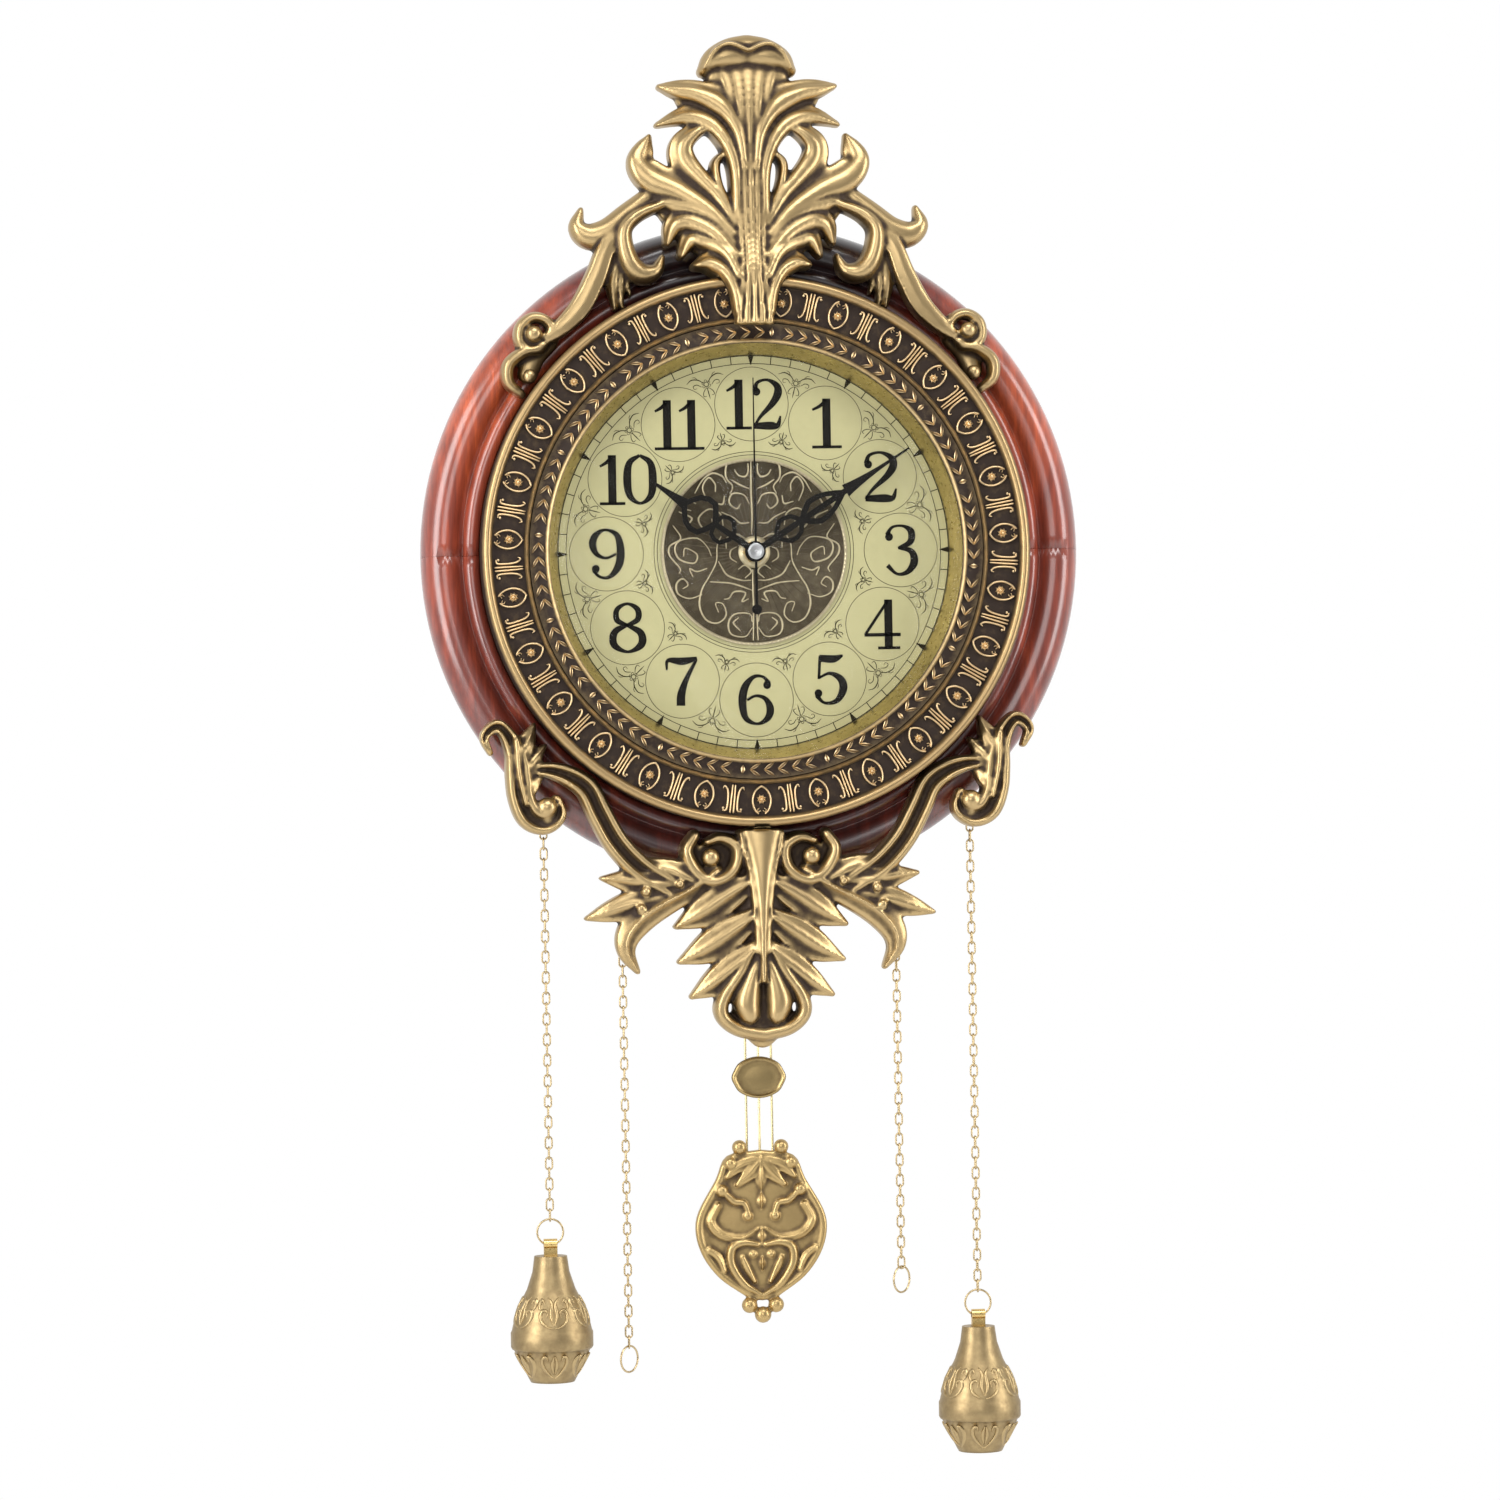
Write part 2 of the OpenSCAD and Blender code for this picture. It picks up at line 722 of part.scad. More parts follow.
module train_plate()
    color("#d8d8d4")
        difference() {
            slab(plate_d, plate_d + plate_t)
                translate([-22, -17])
                    square([39, 34]);
            bar(minute_bore_wide, plate_d - cut, plate_d + plate_t + cut);
            bar(knob_shaft_r + slip, plate_d - cut, plate_d + plate_t + cut, motion_at);
        }

coil_x = 22;
stator_d = case_d + 5.5;
stator_t = 1.2;

module stator_plate()
    color("#9a9c9f")
        difference() {
            slab(stator_d, stator_d + stator_t) {
                translate([10, 6.5])
                    square([16, 10]);
                translate([coil_x - 1.5, -14])
                    square([3, 21]);
            }
            bar(magnet_r + 0.6, stator_d - cut, stator_d + stator_t + cut, rotor_at);
        }

module stepper_coil()
    color("#b5652f")
        difference() {
            translate([coil_x, -stator_d - stator_t / 2, -11])
                cylinder(r = 4.2, h = 15);
            slab(stator_d, stator_d + stator_t)
                translate([coil_x - 1.5, -14])
                    square([3, 21]);
        }

module circuit_board()
    color("#2f6b3a")
        slab(case_d + 2, case_d + 3.2)
            translate([-case_w / 2 + 3, case_low + 4])
                square([8, 13]);

module battery_contacts()
    color("#d0d0cc") {
        both_sides()
            slab(case_d + 3, case_d + 13)
                translate([case_w / 2 - case_wall - 0.4, bay_low + 3])
                    square([0.4, battery_h - 6]);
        translate([-case_w / 2 + case_wall + 0.4, -case_d - 8, (bay_low + bay_high) / 2])
            rotate([0, 90, 0])
                difference() {
                    cylinder(r = 4, h = 3.5);
                    translate([0, 0, -cut])
                        cylinder(r = 3.4, h = 3.5 + 2 * cut);
                }
    }

module pendulum_coil()
    color("#b5652f")
        difference() {
            bar(5.5, case_d + 1.7, case_d + 5, [0, pivot_z - 2]);
            bar(2, case_d + 1, case_d + 6, [0, pivot_z - 2]);
        }

module pendulum_pivot_pin()
    color("#c9c9c4") {
        bar(pivot_r, hub_d - 0.9, case_d + 1.4, [0, pivot_z]);
        bar(pivot_r + 0.9, hub_d - 0.9, hub_d - 0.1, [0, pivot_z]);
    }

module rotor()
    color("#3a3a3d")
        difference() {
            union() {
                gear(rotor_pinion_z, rotor_m, gap_phase(transfer_dir, rotor_pinion_z),
                    level_d[0] - 0.2, level_d[0] + 1.2, rotor_at);
                bar(0.9, level_d[0] + 1, case_d + 4.7, rotor_at);
                bar(magnet_r, case_d + 4.6, case_d + 7.6, rotor_at);
            }
            bar(rotor_post_r + slip, case_d, case_d + 8, rotor_at);
        }

module transfer_wheel()
    color("#e8e4d8")
        difference() {
            union() {
                gear(transfer_z, rotor_m, transfer_dir, level_d[0], level_d[0] + wheel_t,
                    transfer_at);
                bar(1, level_d[0], level_d[1], transfer_at);
                gear(transfer_pinion_z, second_m, gap_phase(transfer_dir, transfer_pinion_z),
                    level_d[1] - 0.2, level_d[1] - 0.2 + pinion_t, transfer_at);
            }
            bar(transfer_post_r + slip, case_d, level_d[1] + 2, transfer_at);
        }

module second_wheel()
    color("#e8e4d8") {
        gear(second_z, second_m, transfer_dir, level_d[1], level_d[1] + wheel_t);
        gear(second_pinion_z, second_m, third_dir, level_d[1] + wheel_t,
            level_d[2] - 0.2 + pinion_t);
        bar(second_r, case_d + 0.5, second_hand_d + second_hand_t + 0.5);
    }

module third_wheel()
    color("#e8e4d8")
        difference() {
            union() {
                gear(third_z, third_m, gap_phase(third_dir, third_z), level_d[2],
                    level_d[2] + wheel_t, third_at);
                gear(third_pinion_z, centre_m, gap_phase(third_dir, third_pinion_z),
                    level_d[2] + wheel_t, level_d[3] - 0.2 + pinion_t, third_at);
            }
            bar(third_post_r + 0.05, case_d, level_d[3] + 2, third_at);
        }

module centre_wheel()
    color("#e8e4d8")
        difference() {
            gear(centre_z, centre_m, third_dir, level_d[3], level_d[3] + wheel_t);
            bar(minute_bore_wide, level_d[3] - cut, level_d[3] + wheel_t + cut);
        }

module minute_arbor()
    color("#d9d4c4")
        difference() {
            union() {
                bar(minute_tube_r, level_d[3] - 0.7, minute_hand_d + hand_t + 0.2);
                bar(2.6, level_d[3] - 0.7, level_d[3] - 0.2);
                gear(cannon_z, motion_m, motion_dir, level_d[4] - 0.2,
                    level_d[4] - 0.2 + pinion_t);
            }
            bar(minute_bore_r, case_d, second_hand_d);
        }

module hour_wheel()
    color("#e8e4d8")
        difference() {
            union() {
                bar(hour_tube_r, level_d[5], hour_hand_d + hand_t + 0.1);
                gear(hour_z, hour_m, motion_dir, level_d[5], level_d[5] + wheel_t);
            }
            bar(hour_bore_r, case_d, minute_hand_d);
        }

module setting_wheel()
    color("#e8e4d8")
        difference() {
            union() {
                gear(motion_z, motion_m, gap_phase(motion_dir, motion_z), level_d[4],
                    level_d[4] + wheel_t, motion_at);
                gear(motion_pinion_z, hour_m, gap_phase(motion_dir, motion_pinion_z),
                    level_d[4] + wheel_t, level_d[5] - 0.2 + pinion_t, motion_at);
            }
            bar(knob_shaft_r, case_d, case_front_d, motion_at);
        }

module setting_knob()
    color("#2a2a2d") {
        slab(case_d - 5, case_d - 0.5)
            translate(motion_at) {
                circle(r = 4.6);
                for (i = [0 : 11])
                    rotate(30 * i)
                        translate([4.2, -0.5])
                            square([0.8, 1]);
            }
        bar(knob_shaft_r, case_d - 1, level_d[5] - 0.2 + pinion_t, motion_at);
    }

// ---- hands ----

// The drawings run up from the dial's axis, for a hand of length 1
hour_strokes = [
    [[0, 0.03, 0.05], [0, 0.2, 0.045], [0, 0.36, 0.04]],
    [[0, 0.2, 0.03], [0.1, 0.27, 0.035], [0.08, 0.36, 0.03], [0, 0.38, 0.04]],
    [[0, 0.38, 0.04], [0.13, 0.46, 0.045], [0.11, 0.58, 0.04], [0, 0.66, 0.04]],
    [[0, 0.64, 0.09], [0, 0.78, 0.05], [0, 0.98, 0.012]]
];
minute_strokes = [
    [[0, 0.02, 0.035], [0, 0.3, 0.03], [0, 0.6, 0.03]],
    [[0, 0.13, 0.02], [0.06, 0.19, 0.025], [0.05, 0.26, 0.022], [0, 0.29, 0.03]],
    [[0, 0.3, 0.03], [0.06, 0.38, 0.03], [0.045, 0.48, 0.025], [0, 0.56, 0.03]],
    [[0, 0.58, 0.07], [0, 0.66, 0.045], [0, 0.8, 0.02], [0, 0.99, 0.01]]
];

module hand(strokes, length, direction, d, thick, hub_r, bore_r)
    difference() {
        slab(d, d + thick)
            rotate(-direction) {
                circle(r = hub_r);
                offset(r = 0.05, $fn = 8)
                    scale([length, length])
                        for (s = strokes)
                            both_sides()
                                stroke(s);
            }
        bar(bore_r, d - cut, d + thick + cut);
    }

module hour_hand()
    color("#111111")
        hand(hour_strokes, hour_len, hour_at, hour_hand_d, hand_t, 5.2, hour_tube_r);

module minute_hand()
    color("#111111")
        hand(minute_strokes, minute_len, minute_at, minute_hand_d, hand_t, 4.6, minute_tube_r);

module second_hand()
    color("#111111")
        difference() {
            slab(second_hand_d, second_hand_d + second_hand_t) {
                polygon([[-0.7, -29], [0.7, -29], [0.25, second_len], [-0.25, second_len]]);
                circle(r = 2.6);
                translate([0, -29])
                    circle(r = 2.5);
            }
            bar(second_r, second_hand_d - cut, second_hand_d + 2);
        }

// ---- pendulum ----

arm_d = hook_plate_d + hook_plate_t + 0.1;
arm_front_d = case_d - 0.6;
rod_places = [-rod_gap, 0, rod_gap];

module pendulum_hanger()
    color("#f0efe8")
        difference() {
            union() {
                bar(3, hub_d, case_d - 0.4, [0, pivot_z]);
                slab(arm_d, arm_front_d) {
                    translate([-2, hook_z - 3])
                        square([4, pivot_z - hook_z + 3]);
                    translate([0, drive_z])
                        circle(r = magnet_r + 1.4);
                }
                bar(1.2, hook_plate_d - 0.6, arm_front_d, [0, hook_z]);
            }
            bar(pivot_r + slip, hub_d - cut, case_d, [0, pivot_z]);
            bar(magnet_r, case_d - 2.1, case_d, [0, drive_z]);
        }

module pendulum_magnet()
    color("#6f7175")
        bar(magnet_r, case_d - 2.1, case_d - 0.4, [0, drive_z]);

module pendulum_hook_plate()
    color("#c9a24a")
        difference() {
            slab(hook_plate_d, hook_plate_d + hook_plate_t)
                translate([-rod_gap - 3, hook_z - 12])
                    square([2 * rod_gap + 6, 16]);
            bar(1.3, hook_plate_d - cut, hook_plate_d + hook_plate_t + cut, [0, hook_z]);
        }

module rod_shapes()
    for (x = rod_places)
        translate([x, -rod_d, rods_low])
            cylinder(r = rod_r, h = hook_z - 6 - rods_low);

module pendulum_rods()
    color("#d8cfa8")
        rod_shapes();

module pendulum_plaque()
    color("#8a6f3c")
        difference() {
            union() {
                slab(rod_d, rod_d + 2.2)
                    translate([0, plaque_z])
                        scale([13.5, 10.5])
                            circle(r = 1, $fn = 48);
                slab(rod_d + 2.2, rod_d + 3)
                    translate([0, plaque_z])
                        scale([12, 9])
                            circle(r = 1, $fn = 48);
            }
            rod_shapes();
        }

bob_half = [[0, 39.5], [16.8, 36.6], [22.7, 24.7], [31.6, 8.9], [33.2, -2], [29.7, -13.8],
    [21.7, -24.7], [10.9, -32.6], [5.9, -35.6], [0, -36.5]];
bob_balls = [[10.6, 41, 3.9], [15.4, 33, 3.5], [19.8, 19.3, 3.5], [6.7, -38.6, 4.2],
    [0, -43.5, 4.4], [7, 6.4, 2.6]];
bob_strokes = [
    [[23, 12, 4], [25, 3, 5], [20, -3, 5], [10, -5, 4], [2, 0, 3]],
    [[3, -8, 3], [9, -7, 4], [15, -9, 4.5], [15.5, -18, 4.5], [9, -28, 4], [0, -34, 3]],
    [[0, 33, 9], [5, 27, 6], [11, 22, 3]],
    [[0, 30, 8], [0, 18, 8], [0, 12, 3]]
];

module bob_outline()
    polygon(concat(smooth(bob_half, 3),
        [for (p = smooth([for (i = [len(bob_half) - 1 : -1 : 0]) bob_half[i]], 3))
            [-p[0], p[1]]]));

module pendulum_bob()
    color("#a08040")
        difference() {
            union() {
                translate([0, 0, bob_z]) {
                    slab(bob_d, bob_d + bob_t)
                        scale([bob_s, bob_s])
                            offset(r = 0.01, $fn = 8)
                                bob_outline();
                    slab(bob_d + bob_t, bob_d + bob_t + 1.8)
                        scale([bob_s, bob_s])
                            for (s = bob_strokes)
                                both_sides()
                                    stroke(s);
                    for (b = bob_balls)
                        both_sides()
                            translate([b[0] * bob_s, -bob_d - bob_t + 1, b[1] * bob_s])
                                sphere(r = b[2] * bob_s);
                }
            }
            rod_shapes();
        }

// ---- chains ----

link_mid = (link_w - link_wire) / 2;
link_straight = link_inner - 2 * link_mid + link_wire;
first_link_drop = eye_r - eye_wire_r - 0.1 + link_inner / 2;
ring_drop = link_inner / 2 - 0.1 + end_ring_r - 2 * end_ring_wire_r;

function end_ring_z(eye_z, links) =
    eye_z - first_link_drop - (links - 1) * link_pitch - ring_drop;

module half_loop()
    translate([0, 0, link_straight / 2])
        rotate([90, 0, 0])
            rotate_extrude(angle = 180)
                translate([link_mid, 0])
                    circle(r = link_wire / 2, $fn = 24);

module chain_link() {
    half_loop();
    mirror([0, 0, 1])
        half_loop();
    for (side = [-1, 1])
        translate([side * link_mid, 0, -link_straight / 2])
            cylinder(r = link_wire / 2, h = link_straight, $fn = 24);
}

module chain(side, eye_at, links)
    color("#cdb27a")
        for (i = [0 : links - 1])
            translate([side * eye_at[0], -chain_d,
                    eye_at[1] - first_link_drop - i * link_pitch])
                rotate([0, 0, i % 2 == 0 ? 0 : 90])
                    chain_link();

module end_ring(side, eye_at, links, turn)
    color("#cdb27a")
        translate([side * eye_at[0], -chain_d, end_ring_z(eye_at[1], links)])
            rotate([90, 0, turn])
                rotate_extrude()
                    translate([end_ring_r - end_ring_wire_r, 0])
                        circle(r = end_ring_wire_r, $fn = 24);

module chain_left_outer()
    chain(-1, outer_eye_at, links_left_outer);

module chain_left_inner()
    chain(-1, inner_eye_at, links_left_inner);

module chain_right_inner()
    chain(1, inner_eye_at, links_right_inner);

module chain_right_outer()
    chain(1, outer_eye_at, links_right_outer);

module split_ring_left()
    end_ring(-1, outer_eye_at, links_left_outer, 0);

module split_ring_right()
    end_ring(1, outer_eye_at, links_right_outer, 0);

module pull_ring_left()
    end_ring(-1, inner_eye_at, links_left_inner, 45);

module pull_ring_right()
    end_ring(1, inner_eye_at, links_right_inner, 45);

// ---- weights ----

weight_profile = [[0, 8.2], [7.9, 9.3], [16.4, 12.1], [25.4, 16.7], [34.5, 19.5]];
bowl_profile = [[46.2, 19.3], [54.5, 15.3], [62.7, 11]];
tab_above = tab_hole_r + tab_rim;

module weight_at(side, links)
    translate([side * outer_eye_at[0], -chain_d,
            end_ring_z(outer_eye_at[1], links) - end_ring_r + 2 * end_ring_wire_r])
        children();

module tab_shape()
    rotate([90, 0, 90])
        translate([0, 0, -tab_w / 2])
            linear_extrude(height = tab_w)
                difference() {
                    union() {
                        circle(r = tab_above);
                        translate([-2, -tab_drop - 1.5])
                            square([4, tab_drop]);
                    }
                    circle(r = tab_hole_r);
                }

module weight_body(side, links) {
    across = weight_r / 20.6;
    down = weight_h / 62.7;
    color("#a8864a")
        weight_at(side, links)
            difference() {
                translate([0, 0, -tab_drop])
                    rotate_extrude()
                        polygon(concat(
                            [[0, 0]],
                            [for (p = weight_profile) [p[1] * across, -p[0] * down]],
                            [[weight_r - 0.6, -36.8 * down], [weight_r, -38 * down],
                                [weight_r, -45 * down], [weight_r - 0.6, -46.1 * down]],
                            [for (p = bowl_profile) [p[1] * across, -p[0] * down]],
                            [[0, -weight_h]]));
                tab_shape();
            }
}

module weight_tab(side, links)
    color("#a8864a")
        weight_at(side, links)
            tab_shape();

module weight_left()
    weight_body(-1, links_left_outer);

module weight_right()
    weight_body(1, links_right_outer);

module weight_tab_left()
    weight_tab(-1, links_left_outer);

module weight_tab_right()
    weight_tab(1, links_right_outer);

// ---- the clock ----

at_height() wood_ring_upper();
at_height() wood_ring_lower();
at_height() ring_dowels();
at_height() back_board();
at_height() board_screws();
at_height() hanger_plate();
at_height() bezel_ring();
at_height() bezel_screws();
at_height() leaf_ring();
at_height() glass_lens();
at_height() rehaut_ring();
at_height() dial_plate();
at_height() dial_retaining_ring();
at_height() dial_medallion();
at_height() crown_casting();
at_height() lower_casting();
at_height() ornament_screws();
at_height() chain_eyes();
at_height() movement_rear_case();
at_height() movement_front_case();
at_height() train_plate();
at_height() threaded_bushing();
at_height() dial_washer();
at_height() bushing_nut();
at_height() stepper_coil();
at_height() stator_plate();
at_height() circuit_board();
at_height() battery_contacts();
at_height() pendulum_coil();
at_height() pendulum_pivot_pin();
at_height() minute_hand();
at_height() minute_arbor();
at_height() hour_hand();
at_height() hour_wheel();
at_height() second_hand();
at_height() second_wheel();
at_height() rotor();
at_height() transfer_wheel();
at_height() third_wheel();
at_height() centre_wheel();
at_height() setting_wheel();
at_height() setting_knob();
at_height() pendulum_hanger();
at_height() pendulum_magnet();
at_height() pendulum_hook_plate();
at_height() pendulum_rods();
at_height() pendulum_plaque();
at_height() pendulum_bob();
at_height() chain_left_outer();
at_height() chain_left_inner();
at_height() chain_right_inner();
at_height() chain_right_outer();
at_height() split_ring_left();
at_height() split_ring_right();
at_height() pull_ring_left();
at_height() pull_ring_right();
at_height() weight_left();
at_height() weight_right();
at_height() weight_tab_left();
at_height() weight_tab_right();
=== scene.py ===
from math import cos, pi, radians, sin

import bmesh
import bpy
import numpy as np
from mathutils import Matrix, Vector


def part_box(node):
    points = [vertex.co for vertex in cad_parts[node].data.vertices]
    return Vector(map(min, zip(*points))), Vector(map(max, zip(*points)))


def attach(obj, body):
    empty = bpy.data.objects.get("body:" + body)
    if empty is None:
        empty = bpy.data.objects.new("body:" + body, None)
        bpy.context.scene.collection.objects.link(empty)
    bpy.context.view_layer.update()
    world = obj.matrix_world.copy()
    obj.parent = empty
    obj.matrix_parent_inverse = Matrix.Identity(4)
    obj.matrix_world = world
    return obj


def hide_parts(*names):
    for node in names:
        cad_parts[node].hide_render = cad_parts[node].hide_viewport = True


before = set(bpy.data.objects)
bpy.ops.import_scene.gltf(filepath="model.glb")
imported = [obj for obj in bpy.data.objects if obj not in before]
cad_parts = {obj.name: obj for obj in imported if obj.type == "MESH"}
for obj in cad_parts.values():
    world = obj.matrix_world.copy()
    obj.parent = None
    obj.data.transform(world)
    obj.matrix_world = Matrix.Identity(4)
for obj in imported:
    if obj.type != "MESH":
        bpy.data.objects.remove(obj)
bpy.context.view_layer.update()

# ---------------------------------------------------------------------------------------------
# The clock hangs on a wall hook in a white studio. Sizes below are in millimetres round
# the dial's own axis: x to the right, z up, and d the distance from the wall. The frame's origin
# is the keyhole in the hanger plate, HANG_Z above that axis.
MM = 0.001
HANG_Z = -(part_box("dial_plate")[0][2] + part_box("dial_plate")[1][2]) / 2 / MM


def at(x, d, z):
    return (x * MM, -d * MM, (z - HANG_Z) * MM)


def new_material(name):
    """A Principled material, with its shader and its node tree."""
    mat = bpy.data.materials.new(name)
    mat.use_nodes = True
    return mat, mat.node_tree.nodes["Principled BSDF"], mat.node_tree


def add_node(tree, kind, **settings):
    node = tree.nodes.new("ShaderNode" + kind)
    for key, value in settings.items():
        if key in node.inputs:
            node.inputs[key].default_value = value
        else:
            setattr(node, key, value)
    return node


def ramp(tree, fac, stops):
    """A colour ramp with (position, colour) stops."""
    node = add_node(tree, "ValToRGB")
    band = node.color_ramp
    while len(band.elements) < len(stops):
        band.elements.new(0.5)
    for element, (place, colour) in zip(band.elements, stops):
        element.position = place
        element.color = (*colour, 1.0)
    tree.links.new(fac, node.inputs["Fac"])
    return node.outputs["Color"]


def to_range(tree, value, low, high, a=0.0, b=1.0):
    node = add_node(tree, "MapRange")
    for socket, number in zip(("From Min", "From Max", "To Min", "To Max"), (low, high, a, b)):
        node.inputs[socket].default_value = number
    tree.links.new(value, node.inputs["Value"])
    return node.outputs["Result"]


def studio():
    world = bpy.data.worlds.new("studio")
    bpy.context.scene.world = world
    world.use_nodes = True
    tree = world.node_tree
    where = add_node(tree, "TexCoord")
    split = add_node(tree, "SeparateXYZ")
    tree.links.new(where.outputs["Generated"], split.inputs["Vector"])
    shade = ramp(tree, to_range(tree, split.outputs["Y"], -1, 1), [
        (0.0, (0.32, 0.32, 0.33)), (0.45, (0.42, 0.42, 0.43)), (0.62, (1, 1, 1)), (1.0, (1, 1, 1))])
    tree.links.new(shade, tree.nodes["Background"].inputs["Color"])


def softbox(name, place, aim, size, power):
    data = bpy.data.lights.new(name, "AREA")
    data.shape = "RECTANGLE"
    data.size, data.size_y = size
    data.energy = power
    lamp = bpy.data.objects.new(name, data)
    bpy.context.collection.objects.link(lamp)
    lamp.location = place
    lamp.rotation_euler = Vector(np.subtract(aim, place)).to_track_quat("-Z", "Y").to_euler()


studio()
CENTRE = (0.0, 0.0, -0.2)
softbox("softbox_left", (-1.5, -0.9, 0.1), CENTRE, (0.7, 1.6), 26)
softbox("softbox_right", (1.6, -0.8, 0.1), CENTRE, (0.6, 1.6), 20)
softbox("softbox_top", (0.1, -1.2, 1.5), CENTRE, (1.4, 0.7), 24)
softbox("front_fill", (-0.5, -2.6, 0.3), CENTRE, (1.2, 1.0), 14)

floor_mesh = bpy.data.meshes.new("studio_floor")
FLOOR_Z = -0.95
floor_mesh.from_pydata([(x, y, FLOOR_Z) for x, y in ((-2, -2), (2, -2), (2, 2), (-2, 2))], [],
                       [(0, 1, 2, 3)])
floor = bpy.data.objects.new("studio_floor", floor_mesh)
bpy.context.collection.objects.link(floor)
floor_paint, floor_shader, _ = new_material("pale_floor")
floor_shader.inputs["Base Color"].default_value = (0.86, 0.86, 0.86, 1)
floor_shader.inputs["Roughness"].default_value = 0.8
floor_mesh.materials.append(floor_paint)

VIEW_FAR = 2600.0
VIEW_WIDE = 750.0
SENSOR = 36.0
camera_data = bpy.data.cameras.new("camera")
camera_data.sensor_width = SENSOR
camera_data.lens = SENSOR * VIEW_FAR / VIEW_WIDE
camera = bpy.data.objects.new("camera", camera_data)
bpy.context.collection.objects.link(camera)
middle = Vector(at(-3.75, 28.0, -99.0))
camera.location = middle + Vector((-sin(radians(6)), -cos(radians(6)), 0)) * VIEW_FAR * MM
aim = (middle - camera.location).to_track_quat("-Z", "Y").to_matrix().to_4x4()
camera.rotation_euler = (aim @ Matrix.Rotation(radians(-1.0), 4, "Z")).to_euler()
bpy.context.scene.camera = camera
bpy.context.scene.view_settings.view_transform = "Standard"

# ---------------------------------------------------------------------------------------------
# The wood ring: two halves of turned hardwood that meet at three and nine o'clock on dowels,
# stained red-brown and lacquered. Painted shade makes its colour nearly black at the top, it is
# also darker towards the bottom, and a painted highlight brightens the shoulders, where the grain
# shows as orange streaks.


def object_parts(tree, lift=HANG_Z):
    """Object coordinates in millimetres as x, y and z, with z measured from the dial's axis."""
    where = add_node(tree, "TexCoord")
    scale = add_node(tree, "VectorMath", operation="MULTIPLY_ADD")
    scale.inputs[1].default_value = (1 / MM, 1 / MM, 1 / MM)
    scale.inputs[2].default_value = (0, 0, lift)
    tree.links.new(where.outputs["Object"], scale.inputs[0])
    split = add_node(tree, "SeparateXYZ")
    tree.links.new(scale.outputs[0], split.inputs["Vector"])
    return scale.outputs[0], split.outputs["X"], split.outputs["Y"], split.outputs["Z"]


def feed(tree, sockets, values):
    """Sets each socket to a number or a colour, or links it to another node's output."""
    for socket, value in zip(sockets, values):
        if isinstance(value, (int, float)):
            socket.default_value = value
        elif isinstance(value, tuple):
            socket.default_value = (*value, 1)
        else:
            tree.links.new(value, socket)


def maths(tree, operation, *values):
    node = add_node(tree, "Math", operation=operation)
    feed(tree, node.inputs, values)
    return node.outputs[0]


def noise(tree, scale, detail=4.0, stretch=(1, 1, 1), rough=0.5):
    """Noise on object coordinates in millimetres."""
    mapping = add_node(tree, "Mapping")
    mapping.inputs["Scale"].default_value = stretch
    tree.links.new(object_parts(tree)[0], mapping.inputs["Vector"])
    tex = add_node(tree, "TexNoise", Scale=scale, Detail=detail, Roughness=rough)
    tree.links.new(mapping.outputs["Vector"], tex.inputs["Vector"])
    return tex.outputs["Fac"]


def bump(tree, shader, height, strength, distance):
    node = add_node(tree, "Bump", Strength=strength, Distance=distance * MM)
    tree.links.new(height, node.inputs["Height"])
    tree.links.new(node.outputs["Normal"], shader.inputs["Normal"])


def mixed(tree, fac, a, b, way="MIX"):
    node = tree.nodes.new("ShaderNodeMix")
    node.data_type = "RGBA"
    node.blend_type = way
    feed(tree, (node.inputs[0], node.inputs[6], node.inputs[7]), (fac, a, b))
    return node.outputs[2]


def dress(mesh, name, mat, body, replaced=(), angle=35):
    """A finished object from a mesh, riding on a body."""
    mesh.materials.clear()
    mesh.materials.append(mat)
    obj = bpy.data.objects.new(name, mesh)
    bpy.context.collection.objects.link(obj)
    mesh.shade_smooth()
    mesh.set_sharp_from_angle(angle=radians(angle))
    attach(obj, body)
    if replaced:
        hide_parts(*replaced)
    return obj


def smoothed_copy(name, node, mat, body):
    """A CAD node's own shape with its points joined, so that its curves shade smoothly."""
    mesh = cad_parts[node].data.copy()
    work = bmesh.new()
    work.from_mesh(mesh)
    bmesh.ops.remove_doubles(work, verts=work.verts, dist=1e-6)
    work.to_mesh(mesh)
    work.free()
    return dress(mesh, name, mat, body, (node,), 30)


